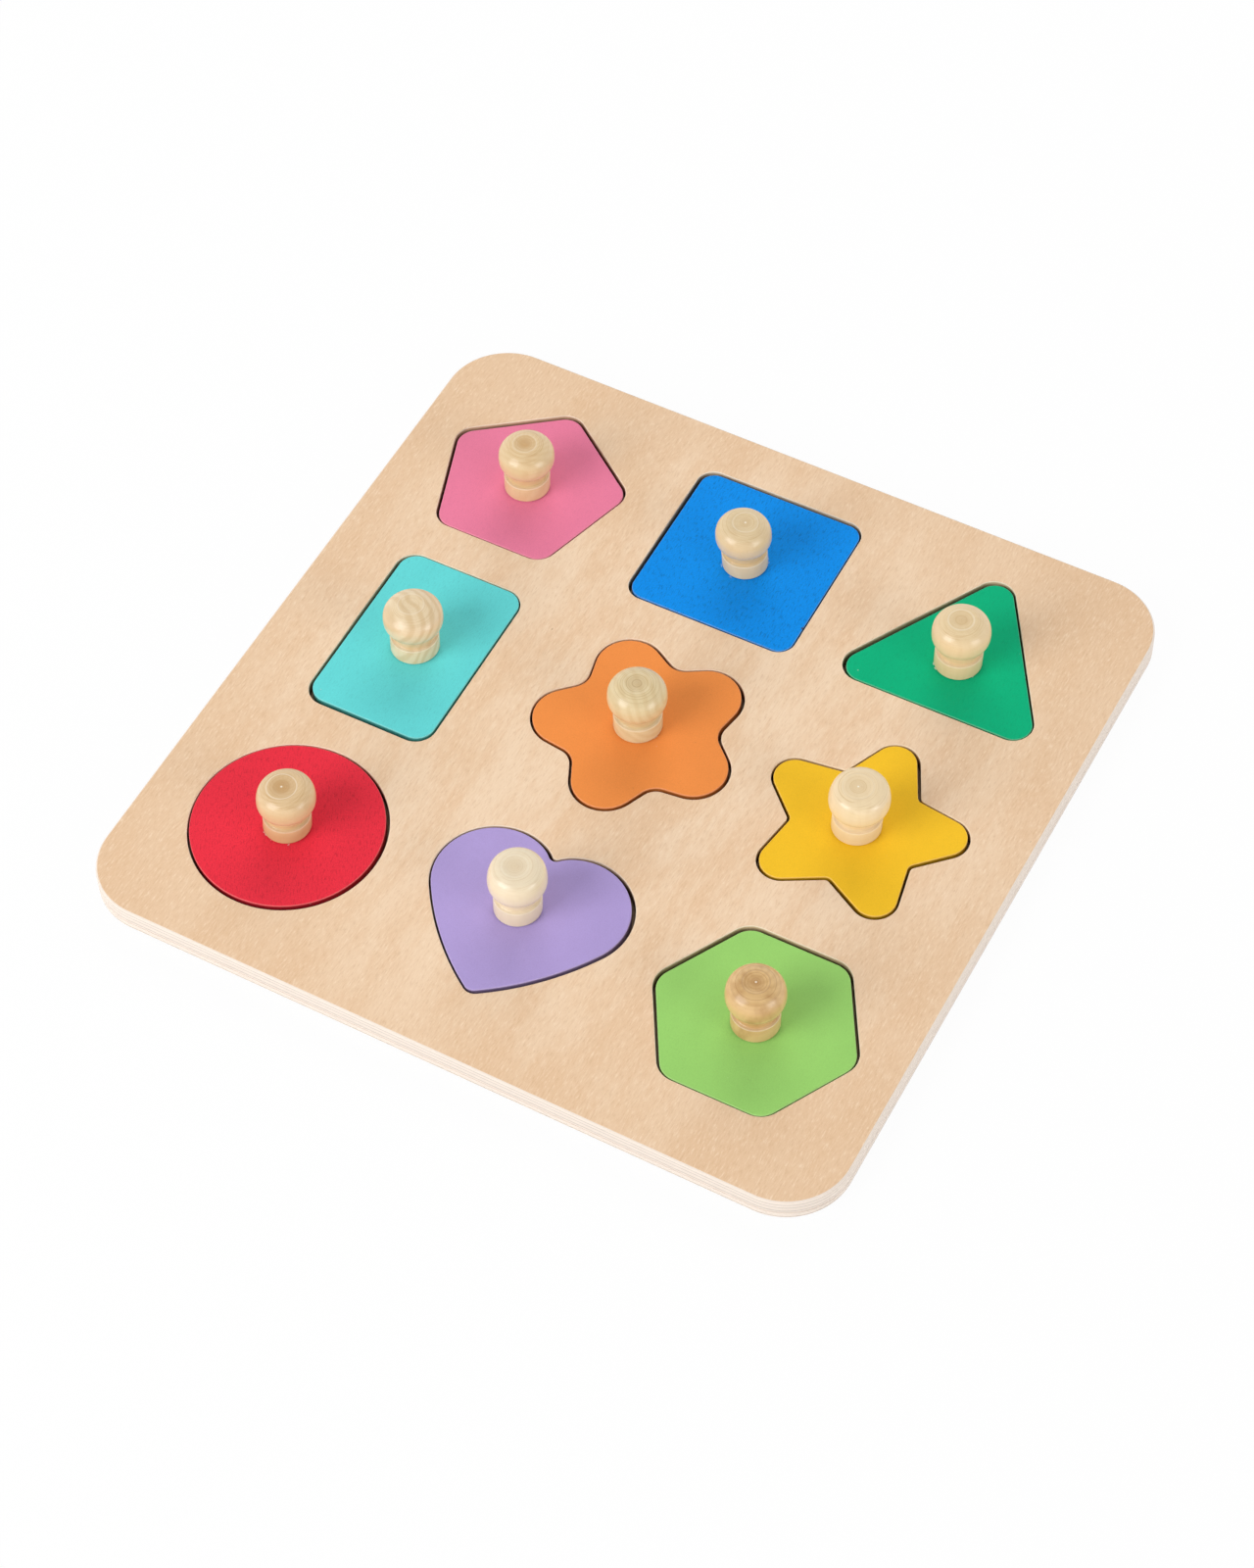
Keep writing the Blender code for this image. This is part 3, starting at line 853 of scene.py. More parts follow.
@dataclass(frozen=True)
class Outline:
    """A closed line of arcs and straights, walked counter-clockwise."""

    arcs: tuple[Arc, ...]

    @staticmethod
    def polygon(corners: Sequence[Vector], radii: Sequence[float]) -> "Outline":
        """A polygon with rounded corners.

        Args:
            corners: The sharp corners.
            radii: Rounding radius of each.

        Returns:
            The outline.
        """
        arcs = []
        for index, corner in enumerate(corners):
            along = (corner - corners[index - 1]).normalized()
            onward = (corners[(index + 1) % len(corners)] - corner).normalized()
            turn = math.atan2(along.cross(onward), along.dot(onward))
            side = -1.0 if turn < 0 else 1.0
            left = Vector((-along.y, along.x))
            reach = radii[index] * math.tan(abs(turn) / 2)
            centre = corner - along * reach + left * radii[index] * side
            first = -left * side
            start = math.atan2(first.y, first.x)
            arcs.append(Arc(centre, radii[index], start, start + turn, turn < 0))
        return Outline(tuple(arcs))

    @staticmethod
    def rayed(rays: int, outer: float, inner: float | None, tip: float, valley: float,
              first_angle: float) -> "Outline":
        """A star or flower, or a regular polygon where inner is None.

        Args:
            rays: Number of rays.
            outer: From the middle to a sharp tip.
            inner: From the middle to a sharp valley.
            tip: Rounding radius of the tips.
            valley: Rounding radius of the valleys.
            first_angle: Direction of the first ray.

        Returns:
            The outline.
        """
        corners = []
        radii = []
        for ray in range(rays):
            angle = first_angle + math.tau * ray / rays
            corners.append(Vector((outer * math.cos(angle), outer * math.sin(angle))))
            radii.append(tip)
            if inner is not None:
                angle += math.pi / rays
                corners.append(Vector((inner * math.cos(angle), inner * math.sin(angle))))
                radii.append(valley)
        return Outline.polygon(corners, radii)

    @staticmethod
    def regular(sides: int, radius: float, rounding: float, first_angle: float) -> "Outline":
        """A regular polygon with rounded corners, the first one in the direction first_angle."""
        return Outline.rayed(sides, radius, None, rounding, 0.0, first_angle)

    @staticmethod
    def rectangle(width: float, depth: float, rounding: float) -> "Outline":
        """A rectangle about its middle.

        Args:
            width: Along X.
            depth: Along Y.
            rounding: Radius of the corners.

        Returns:
            The outline.
        """
        x = width / 2
        y = depth / 2
        corners = [Vector((x, -y)), Vector((x, y)), Vector((-x, y)), Vector((-x, -y))]
        return Outline.polygon(corners, [rounding] * 4)

    @staticmethod
    def triangle(base: float, height: float, rounding: float) -> "Outline":
        """An upright triangle about its centre of area.

        Args:
            base: Length of its lowest side.
            height: From the lowest side to the tip.
            rounding: Radius of the corners.

        Returns:
            The outline.
        """
        low = -height / 3
        corners = [Vector((-base / 2, low)), Vector((base / 2, low)), Vector((0.0, low + height))]
        return Outline.polygon(corners, [rounding] * 3)

    @staticmethod
    def cross(reach: float, half_width: float, rounding: float) -> "Outline":
        """A cross with arms of the same length, along X and Y.

        Args:
            reach: From the middle to the end of an arm.
            half_width: Half the width of an arm.
            rounding: Radius of the corners.

        Returns:
            The outline.
        """
        corners = []
        for quarter in range(4):
            turn = Matrix.Rotation(UP * quarter, 2)
            arm = ((half_width, -half_width), (reach, -half_width), (reach, half_width))
            corners += [turn @ Vector(corner) for corner in arm]
        return Outline.polygon(corners, [rounding] * len(corners))

    @staticmethod
    def circle(radius: float) -> "Outline":
        """A full circle."""
        return Outline((Arc(Vector((0.0, 0.0)), radius, 0.0, math.tau),))

    @staticmethod
    def heart(tip_to_middle: float) -> "Outline":
        """A heart of arcs that run into each other, from its tip up the right-hand side and back.

        Args:
            tip_to_middle: From the tip to the point that the heart is drawn about.

        Returns:
            The outline.
        """
        tip, lobe, slope, notch = HEART_RADII
        flank_start, flank_end, lobe_end, slope_end = map(math.radians, HEART_HEADINGS)
        runs = [
            (tip, 0.0, flank_start),
            (0.0, flank_start, flank_end),
            (lobe, flank_end, lobe_end),
            (slope, lobe_end, slope_end),
            (notch, slope_end, math.pi),
        ]
        # The flank's radius is the one that ends the walk on the heart's middle line.
        drift = sum(radius * (math.sin(end) - math.sin(start)) for radius, start, end in runs)
        runs[1] = (-drift / (math.sin(flank_end) - math.sin(flank_start)), flank_start, flank_end)
        here = Vector((0.0, -tip_to_middle))
        right = []
        for radius, start, end in runs:
            centre = here + radius * Vector((-math.sin(start), math.cos(start)))
            here = centre + radius * Vector((math.sin(end), -math.cos(end)))
            lean = UP if radius < 0 else -UP
            right.append(Arc(centre, abs(radius), start + lean, end + lean, radius < 0))
        left = [
            Arc(Vector((-arc.centre.x, arc.centre.y)), arc.radius, math.pi - arc.end,
                math.pi - arc.start, arc.hollow)
            for arc in reversed(right)
        ]
        return Outline(tuple(right + left))

    def turned(self, angle: float) -> "Outline":
        """Turn the outline about its middle.

        Args:
            angle: Angle, counter-clockwise.

        Returns:
            The turned outline.
        """
        turn = Matrix.Rotation(angle, 2)
        return Outline(tuple(
            replace(arc, centre=turn @ arc.centre, start=arc.start + angle, end=arc.end + angle)
            for arc in self.arcs
        ))


class Bench:
    """A mesh open in edit mode, drawn and shaped with Blender's own operators."""

    def __init__(self, name: str, pattern: bpy.types.Object | None = None) -> None:
        """Open an empty mesh, or a copy of a pattern with a mesh of its own.

        Args:
            name: Name of the piece.
            pattern: What to copy.
        """
        bpy.ops.object.select_all(action="DESELECT")
        if pattern is None:
            bpy.ops.mesh.primitive_plane_add(size=SPECK)
        else:
            bpy.context.view_layer.objects.active = pattern
            pattern.select_set(True)
            bpy.ops.object.duplicate(linked=False)
        self.piece = bpy.context.active_object
        self.piece.name = name
        self.piece.data.name = name
        self.here = Vector((0.0, 0.0, 0.0))
        bpy.ops.object.mode_set(mode="EDIT")
        bpy.ops.mesh.select_mode(type="VERT")
        bpy.ops.mesh.select_all(action="SELECT")
        if pattern is None:
            bpy.ops.mesh.delete(type="VERT")

    def pen_down(self, at: Vector) -> None:
        """Start a line.

        Args:
            at: Where the pen is put down.
        """
        bpy.ops.mesh.primitive_plane_add(size=SPECK, location=at)
        bpy.ops.mesh.merge(type="CENTER")
        self.here = at

    def line_to(self, to: Vector) -> None:
        """Draw a straight line, unless the pen is there already.

        Args:
            to: Where the line ends.
        """
        if (to - self.here).length > WELD:
            bpy.ops.mesh.extrude_region_move(TRANSFORM_OT_translate={"value": to - self.here})
            self.here = to

    def arc(self, centre: Vector, sweep: float, steps: int) -> None:
        """Draw a level arc from where the pen is.

        Args:
            centre: Centre of the arc.
            sweep: Angle, counter-clockwise seen from above.
            steps: Number of chords.
        """
        bpy.ops.mesh.spin(steps=steps, angle=-sweep, center=centre, axis=UPWARDS)
        self.here = centre + Matrix.Rotation(sweep, 3, UPWARDS) @ (self.here - centre)

    def ring(self, outline: Outline, middle: Vector, inset: float, height: float) -> None:
        """Draw a closed outline.

        Args:
            outline: The outline.
            middle: Where its middle goes.
            inset: How far it is drawn in.
            height: Its height.
        """
        bpy.ops.mesh.select_mode(type="VERT")
        first = None
        for arc in outline.arcs:
            start = (middle + arc.point(arc.start, inset)).to_3d()
            start.z = height
            if first is None:
                first = start
                self.pen_down(start)
            else:
                self.line_to(start)
            centre = (middle + arc.centre).to_3d()
            centre.z = height
            self.arc(centre, arc.end - arc.start, arc.steps())
        self.line_to(first)
        bpy.ops.mesh.select_all(action="SELECT")
        bpy.ops.mesh.remove_doubles(threshold=WELD)

    def pick(self, kind: str, rule: Callable[[object], bool]) -> None:
        """Select the faces, edges or points that a rule takes, and nothing else.

        Args:
            kind: FACE, EDGE or VERT.
            rule: Whether to take one of them.
        """
        bpy.ops.mesh.select_all(action="DESELECT")
        bpy.ops.mesh.select_mode(type=kind)
        cage = bmesh.from_edit_mesh(self.piece.data)
        among = {"FACE": cage.faces, "EDGE": cage.edges, "VERT": cage.verts}[kind]
        for element in among:
            if not element.hide:
                element.select_set(rule(element))
        bmesh.update_edit_mesh(self.piece.data)

    def raise_by(self, height: float) -> None:
        """Extrude what is selected upwards."""
        bpy.ops.mesh.extrude_region_move(TRANSFORM_OT_translate={"value": (0.0, 0.0, height)})

    def margin(self, width: float, height: float) -> None:
        """Lay a narrow margin inside the flat faces at a height.

        Args:
            width: Width of the margin.
            height: Height of the faces.
        """
        self.pick("FACE", lambda face: all(abs(v.co.z - height) < WELD for v in face.verts))
        bpy.ops.mesh.inset(thickness=width, depth=0.0)

    def round_over(self, height: float, width: float, segments: int,
                   where: Callable[[Vector], bool] = lambda at: True) -> None:
        """Round over the edges between walls and the flat faces at a height.

        Args:
            height: Height of the edges.
            width: Width of the rounding.
            segments: Number of steps across it.
            where: Which of the edges, by the middle of the edge.
        """

        def rim(edge: bmesh.types.BMEdge) -> bool:
            """Tell the edges that are rounded over.

            Args:
                edge: An edge of the piece.

            Returns:
                Whether it is one of them.
            """
            at_height = all(abs(v.co.z - height) < WELD for v in edge.verts)
            walled = any(abs(face.normal.z) < WALL_TILT for face in edge.link_faces)
            return at_height and walled and where((edge.verts[0].co + edge.verts[1].co) / 2)

        self.pick("EDGE", rim)
        bpy.ops.mesh.bevel(offset=width, segments=segments, profile=0.5, affect="EDGES",
                           clamp_overlap=False)

    def lathe(self, profile: Sequence[Point], foot: float, steps: int) -> None:
        """Turn a profile round the world's own axis.

        Args:
            profile: Points of (radius, height), from one end of the axis to the other.
            foot: Height that the profile is measured from.
            steps: Number of faces round the axis.
        """
        bpy.ops.mesh.select_mode(type="VERT")
        points = [Vector((radius, 0.0, foot + height)) for radius, height in profile]
        self.pen_down(points[0])
        for point in points[1:]:
            self.line_to(point)
        bpy.ops.mesh.select_all(action="SELECT")
        bpy.ops.mesh.spin(steps=steps, angle=math.tau, center=(0.0, 0.0, foot), axis=UPWARDS)
        bpy.ops.mesh.select_all(action="SELECT")
        bpy.ops.mesh.remove_doubles(threshold=AXIS_WELD)

    def move(self, by: Vector) -> None:
        """Move the whole mesh."""
        bpy.ops.mesh.select_all(action="SELECT")
        bpy.ops.transform.translate(value=by)

    def finish(self) -> bpy.types.Object:
        """Close the mesh, with its faces pointing outwards.

        Returns:
            The piece.
        """
        bpy.ops.mesh.select_all(action="SELECT")
        bpy.ops.mesh.normals_make_consistent(inside=False)
        bpy.ops.object.mode_set(mode="OBJECT")
        bpy.ops.object.shade_smooth_by_angle(angle=SMOOTH_ANGLE)
        return self.piece


def cut_away(piece: bpy.types.Object, cutter: bpy.types.Object) -> None:
    """Cut one solid out of another, and throw the cutter away.

    Args:
        piece: What is cut.
        cutter: The solid that is taken out of it.
    """
    bpy.ops.object.select_all(action="DESELECT")
    bpy.context.view_layer.objects.active = piece
    piece.select_set(True)
    cut = piece.modifiers.new("Cut", "BOOLEAN")
    cut.operation = "DIFFERENCE"
    cut.solver = "EXACT"
    cut.object = cutter
    bpy.ops.object.modifier_apply(modifier=cut.name)
    bpy.ops.object.shade_smooth_by_angle(angle=SMOOTH_ANGLE)
    bpy.data.objects.remove(cutter, do_unlink=True)


def hand_over(piece: bpy.types.Object, body: str, node: str, slot: str,
              *finishes: bpy.types.Material) -> None:
    """Dress a finished piece, put it on its body and report it.

    Args:
        piece: The piece.
        body: The CAD body that carries it.
        node: The CAD node that it replaces.
        slot: Name of the record's material slot; not used.
        finishes: Its materials.
    """
    for finish in finishes:
        piece.data.materials.append(finish)
    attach(piece, body)
    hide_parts(node)
    LOG.info("%s: %d faces", piece.name, len(piece.data.polygons))


@dataclass(frozen=True)
class Turning:
    """How one knob differs from the pattern that they are all turned to."""

    stretch: float               # height, against the pattern's
    girth: float                 # width, against the pattern's
    facet: float                 # radius of the flat on top
    lean: float                  # how far the top leans to the right of the photograph
    lines: tuple[float, ...] = ()    # heights of the lines cut into the neck


@dataclass(frozen=True)
class Knobs:
    """The knobs, all turned to one pattern and each finished a little differently by hand."""

    height: float = 0.0242
    widest_radius: float = 0.01095
    widest_height: float = 0.0164
    dome_power: float = 2.6      # of the superellipse from the widest place up to the facet
    belly_power: float = 2.2
    belly_drop: float = 0.0073
    facet_radius: float = 0.0054
    curve_steps: int = 16
    disc_radius: float = 0.0042
    disc_depth: float = 0.00012
    disc_edge: tuple[Point, ...] = ((-0.0002, 0.00012), (0.0001, 0.00002), (0.0003, 0.0))
    pip_height: float = 0.0001
    pip_radius: float = 0.00045
    pip_shoulder: Point = (0.5, 0.8)     # in shares of its radius and its height
    neck_radius: float = 0.0077
    neck_steps: int = 10
    neck_end: float = 0.0008     # over the base's rim, where the fillet follows
    fillet: tuple[Point, ...] = ((0.0, 0.0006), (0.0001, 0.0002), (0.0004, 0.0))
    base_radius: float = 0.0090
    base_height: float = 0.0073
    base_rounding: float = 0.0003
    base_shoulder: float = 0.3   # how far a rounding's middle point is off the corner, as a share
    bore_radius: float = 0.0018
    bore_depth: float = 0.0110
    steps: int = 96
    facet_reach: float = 0.0070      # how far down the dome follows when the facet is turned wider
    line_depth: float = 0.985        # radius in a line, against the neck's
    lean_way: Point = (0.8805, 0.4736)   # to the right of the photograph, on the board

    def quarter(self, reach: float, power: float, narrowest: float) -> list[Point]:
        """Half of a turned bulge, as a superellipse's quarter.

        Args:
            reach: Height at which it would close, downwards if negative.
            power: How square its shoulder is, where 2 is an ellipse.
            narrowest: Radius at which it ends.

        Returns:
            Points of (radius, height) from the widest place on.
        """
        last = math.acos((narrowest / self.widest_radius) ** (power / 2))
        points = []
        for step in range(self.curve_steps + 1):
            angle = last * step / self.curve_steps
            radius = self.widest_radius * math.cos(angle) ** (2 / power)
            rise = reach * math.sin(angle) ** (2 / power)
            points.append((radius, self.widest_height + rise))
        return points

    def profile(self) -> list[Point]:
        """Draw up what the knob is turned to.

        Returns:
            Points of (radius, height) from its top round to the end of its blind hole.
        """
        rise = self.height - self.widest_height
        facet_share = (self.facet_radius / self.widest_radius) ** self.dome_power
        dome = self.quarter(rise / (1 - facet_share) ** (1 / self.dome_power), self.dome_power,
                            self.facet_radius)
        belly = self.quarter(-self.belly_drop, self.belly_power, self.neck_radius)
        dished = self.height - self.disc_depth
        across, up = self.pip_shoulder
        points = [
            (0.0, dished + self.pip_height),
            (self.pip_radius * across, dished + self.pip_height * up),
            (self.pip_radius, dished),
        ]
        points += [(self.disc_radius + out, self.height - down) for out, down in self.disc_edge]
        points += reversed(dome)
        points += belly[1:]
        rim = self.base_height
        waist_top = belly[-1][1]
        waist_bottom = rim + self.neck_end
        for step in range(1, self.neck_steps):
            share = step / self.neck_steps
            points.append((self.neck_radius, waist_top + (waist_bottom - waist_top) * share))
        points += [(self.neck_radius + out, rim + up) for out, up in self.fillet]
        shoulder = self.base_rounding * self.base_shoulder
        points += [
            (self.base_radius - self.base_rounding, rim),
            (self.base_radius - shoulder, rim - shoulder),
            (self.base_radius, rim - self.base_rounding),
            (self.base_radius, self.base_rounding),
            (self.base_radius - self.base_rounding, 0.0),
            (self.bore_radius, 0.0),
            (self.bore_radius, self.bore_depth),
            (0.0, self.bore_depth),
        ]
        return points

    def turn_pattern(self) -> bpy.types.Object:
        """Turn the knob that the others are copied from, on the world's own axis.

        Returns:
            The knob.
        """
        bench = Bench("knob_pattern")
        bench.lathe(self.profile(), 0.0, self.steps)
        return bench.finish()

    def copy_of(self, pattern: bpy.types.Object, name: str, axis: Vector,
                turning: Turning) -> bpy.types.Object:
        """Copy the pattern, finish the copy by hand and stand it on its axis.

        Args:
            pattern: The knob to copy.
            name: Name of the copy.
            axis: Where its axis stands.
            turning: How it differs from the pattern.

        Returns:
            The knob.
        """
        bench = Bench(name, pattern)
        top = self.height * turning.stretch

        def in_bore(vert: bmesh.types.BMVert) -> bool:
            """Whether the point is on the blind hole."""
            level = vert.co.z < self.bore_depth + SPARE
            return level and vert.co.to_2d().length < self.bore_radius + SPARE

        def on_flat(vert: bmesh.types.BMVert) -> bool:
            """Whether the point is on the flat on top, once the copy is stretched."""
            return vert.co.z > top - self.disc_depth - SPARE

        bench.pick("VERT", in_bore)
        bpy.ops.mesh.hide(unselected=False)
        bench.pick("VERT", lambda vert: True)
        bpy.ops.transform.resize(value=(turning.girth, turning.girth, turning.stretch),
                                 center_override=ORIGIN)
        bench.pick("VERT", on_flat)
        wider = turning.facet / (self.facet_radius * turning.girth)
        bpy.ops.transform.resize(value=(wider, wider, 1.0), center_override=(0.0, 0.0, top),
                                 use_proportional_edit=True, proportional_edit_falloff="SMOOTH",
                                 proportional_size=self.facet_reach)
        self.cut_lines(bench, turning)
        bench.pick("VERT", on_flat)
        way = Vector(self.lean_way).to_3d() * turning.lean
        bpy.ops.transform.translate(value=way, use_proportional_edit=True,
                                    proportional_edit_falloff="LINEAR", proportional_size=top)
        bpy.ops.mesh.reveal(select=False)
        bench.move(Vector((axis.x, axis.y, KNOB_BOTTOM)))
        return bench.finish()

    def cut_lines(self, bench: Bench, turning: Turning) -> None:
        """Cut the lines into the neck of a knob that still stands on the world's axis.

        Args:
            bench: The knob.
            turning: How the knob differs from the pattern.
        """
        cage = bmesh.from_edit_mesh(bench.piece.data)
        neck = self.neck_radius * turning.girth + SPARE
        levels = sorted({round(vert.co.z, 6) for vert in cage.verts
                         if not vert.hide and vert.co.to_2d().length < neck
                         and vert.co.z > self.base_height * turning.stretch + self.base_rounding
                         and vert.co.z < self.widest_height * turning.stretch})
        for height in turning.lines:
            level = min(levels, key=lambda at: abs(at - height * turning.stretch))
            bench.pick("VERT", lambda vert: abs(vert.co.z - level) < LEVEL_REACH)
            bpy.ops.transform.resize(value=(self.line_depth, self.line_depth, 1.0),
                                     center_override=(0.0, 0.0, level))


@dataclass(frozen=True)
class Screws:
    """The countersunk screws that hold the knobs from below."""

    head_radius: float = 0.0030
    shank_radius: float = 0.0015
    sunk: float = 0.0004         # how far the head lies inside the shape's underside
    rim: float = 0.0003          # height of the head's upright edge
    bite: float = 0.0100         # how far it goes into the knob
    point: float = 0.0018        # length of its tapered end
    tip: Point = (0.0004, 0.0003)    # radius of the blunt tip, and how far it is rounded down
    cross_reach: float = 0.0017
    cross_half_width: float = 0.00042
    cross_depth: float = 0.0013
    cross_taper: float = 0.42    # width of the recess at its end, against its mouth
    steps: int = 48

    def make_drill(self) -> bpy.types.Object:
        """Make the solid that is cut out of a shape for its screw, on the world's own axis.

        Returns:
            The solid.
        """
        bench = Bench("drill_pattern")
        beyond = FRAME_THICKNESS + OVERRUN
        head = self.head_radius + FACE_GAP
        shank = self.shank_radius + FACE_GAP
        shoulder = self.sunk + self.rim
        cone = self.head_radius - self.shank_radius
        profile = [(0.0, beyond), (shank, beyond), (shank, shoulder + cone), (head, shoulder),
                   (head, -OVERRUN), (0.0, -OVERRUN)]
        bench.lathe(profile, SHAPE_BOTTOM, self.steps)
        return bench.finish()

    def make_pattern(self) -> bpy.types.Object:
        """Make the screw that the others are copied from, on the world's own axis.

        Returns:
            The screw.
        """
        bench = Bench("screw_pattern")
        top = KNOB_BOTTOM + self.bite - SHAPE_BOTTOM
        shoulder = self.sunk + self.rim
        cone = self.head_radius - self.shank_radius
        tip_radius, tip_rounding = self.tip
        profile = [
            (0.0, top), (tip_radius, top - tip_rounding), (self.shank_radius, top - self.point),
            (self.shank_radius, shoulder + cone), (self.head_radius, shoulder),
            (self.head_radius, self.sunk + SPARE), (self.head_radius - SPARE, self.sunk),
            (0.0, self.sunk),
        ]
        bench.lathe(profile, SHAPE_BOTTOM, self.steps)
        screw = bench.finish()
        cutter = Bench("driver")
        recess = Outline.cross(self.cross_reach, self.cross_half_width, SPARE)
        below = SHAPE_BOTTOM + self.sunk - OVERRUN
        cutter.ring(recess, Vector((0.0, 0.0)), 0.0, below)
        bpy.ops.mesh.edge_face_add()
        cutter.raise_by(self.cross_depth + OVERRUN)
        bpy.ops.transform.resize(value=(self.cross_taper, self.cross_taper, 1.0),
                                 center_override=(0.0, 0.0, below))
        cut_away(screw, cutter.finish())
        return screw

    def copy_of(self, pattern: bpy.types.Object, name: str, axis: Vector) -> bpy.types.Object:
        """Copy a pattern and put the copy on its axis.

        Args:
            pattern: The screw, or the drill for its hole.
            name: Name of the copy.
            axis: Where its axis stands.

        Returns:
            The copy.
        """
        bench = Bench(name, pattern)
        bench.move(axis.to_3d())
        return bench.finish()


@dataclass(frozen=True)
class Workshop:
    """What the nine sets share: the patterns that are copied, and the screws' finish."""

    knobs: Knobs
    knob: bpy.types.Object
    screws: Screws
    screw: bpy.types.Object
    drill: bpy.types.Object
    zinc: bpy.types.Material

    @staticmethod
    def open() -> "Workshop":
        """Make the patterns and the finish.

        Returns:
            The workshop, ready for the sets.
        """
        knobs = Knobs()
        screws = Screws()
        return Workshop(knobs, knobs.turn_pattern(), screws, screws.make_pattern(),
                        screws.make_drill(), ZincPlate("zinc_plate").make())

    def close(self) -> None:
        """Throw the patterns away."""
        for pattern in (self.knob, self.screw, self.drill):
            bpy.data.objects.remove(pattern, do_unlink=True)


@dataclass(frozen=True)
class ShapeSet:
    """One painted shape with its knob and its screw."""

    name: str
    recess: Point                # middle of the recess on the board
    rest: Point                  # off the middle of the recess, in shares of the clearance
    rest_turn: float             # how far it lies turned in its recess, in degrees
    knob_off: Point              # from the middle of the shape to the axis of its knob
    outline: Outline
    turning: Turning
    paint: SatinPaint
    wood: TurnedWood
    rounding: float = 0.0004
    rounding_steps: int = 5
    underside_rounding: float = 0.0005
    underside_steps: int = 3

    @property
    def turn(self) -> float:
        """How far the shape lies turned on the board."""
        return LAYOUT_TURN + math.radians(self.rest_turn)

    @property
    def middle(self) -> Vector:
        """Where the middle of the shape lies."""
        return Vector(self.recess) + Vector(self.rest) * RECESS_CLEARANCE

    @property
    def axis(self) -> Vector:
        """Where the axis of the knob stands, with the shape as it lies."""
        return self.middle + Matrix.Rotation(self.turn, 2) @ Vector(self.knob_off)

    def block(self, shop: Workshop) -> bpy.types.Object:
        """Make the shape itself, with the countersunk hole for its screw.

        Args:
            shop: The patterns that all the sets share.

        Returns:
            The shape.
        """
        bench = Bench(self.name + "_block")
        bench.ring(self.outline.turned(self.turn), self.middle, RECESS_CLEARANCE, SHAPE_BOTTOM)
        bpy.ops.mesh.edge_face_add()
        bench.raise_by(FRAME_THICKNESS)
        bench.margin(self.rounding + SPARE, SHAPE_TOP)
        bench.margin(self.underside_rounding + SPARE, SHAPE_BOTTOM)
        bench.round_over(SHAPE_TOP, self.rounding, self.rounding_steps)
        bench.round_over(SHAPE_BOTTOM, self.underside_rounding, self.underside_steps)
        block = bench.finish()
        cut_away(block, shop.screws.copy_of(shop.drill, self.name + "_drill", self.axis))
        return block

    def varnish(self, knobs: Knobs) -> bpy.types.Material:
        """Make the finish of the knob.

        Args:
            knobs: The sizes of the knobs' pattern.

        Returns:
            The material.
        """
        stretch = self.turning.stretch
        return self.wood.make(self.name + "_varnished", self.axis, knobs.height * stretch,
                              knobs.base_height * stretch)

    def build(self, shop: Workshop) -> None:
        """Build, dress and place the three pieces.

        Args:
            shop: The patterns and the finish that all the sets share.
        """
        satin = self.paint.make(self.name + "_satin", self.axis)
        block = self.block(shop)
        hand_over(block, self.name, self.name + "_piece", self.name + "_paint", satin)
        grip = shop.knobs.copy_of(shop.knob, self.name + "_grip", self.axis, self.turning)
        hand_over(grip, self.name, self.name + "_knob", self.name + "_knob_wood",
                  self.varnish(shop.knobs))
        fixing = shop.screws.copy_of(shop.screw, self.name + "_fixing", self.axis)
        # The circle turns about its screw, which only rides up and down with it.
        carrier = "circle_lift" if self.name == "circle" else self.name
        hand_over(fixing, carrier, self.name + "_screw", "screw_steel", shop.zinc)


class BoardFace(Enum):
    """The kinds of face of a board, each with the place of its finish in the piece's list."""

    FLAT = 0
    EDGE = 1
    RECESS = 2


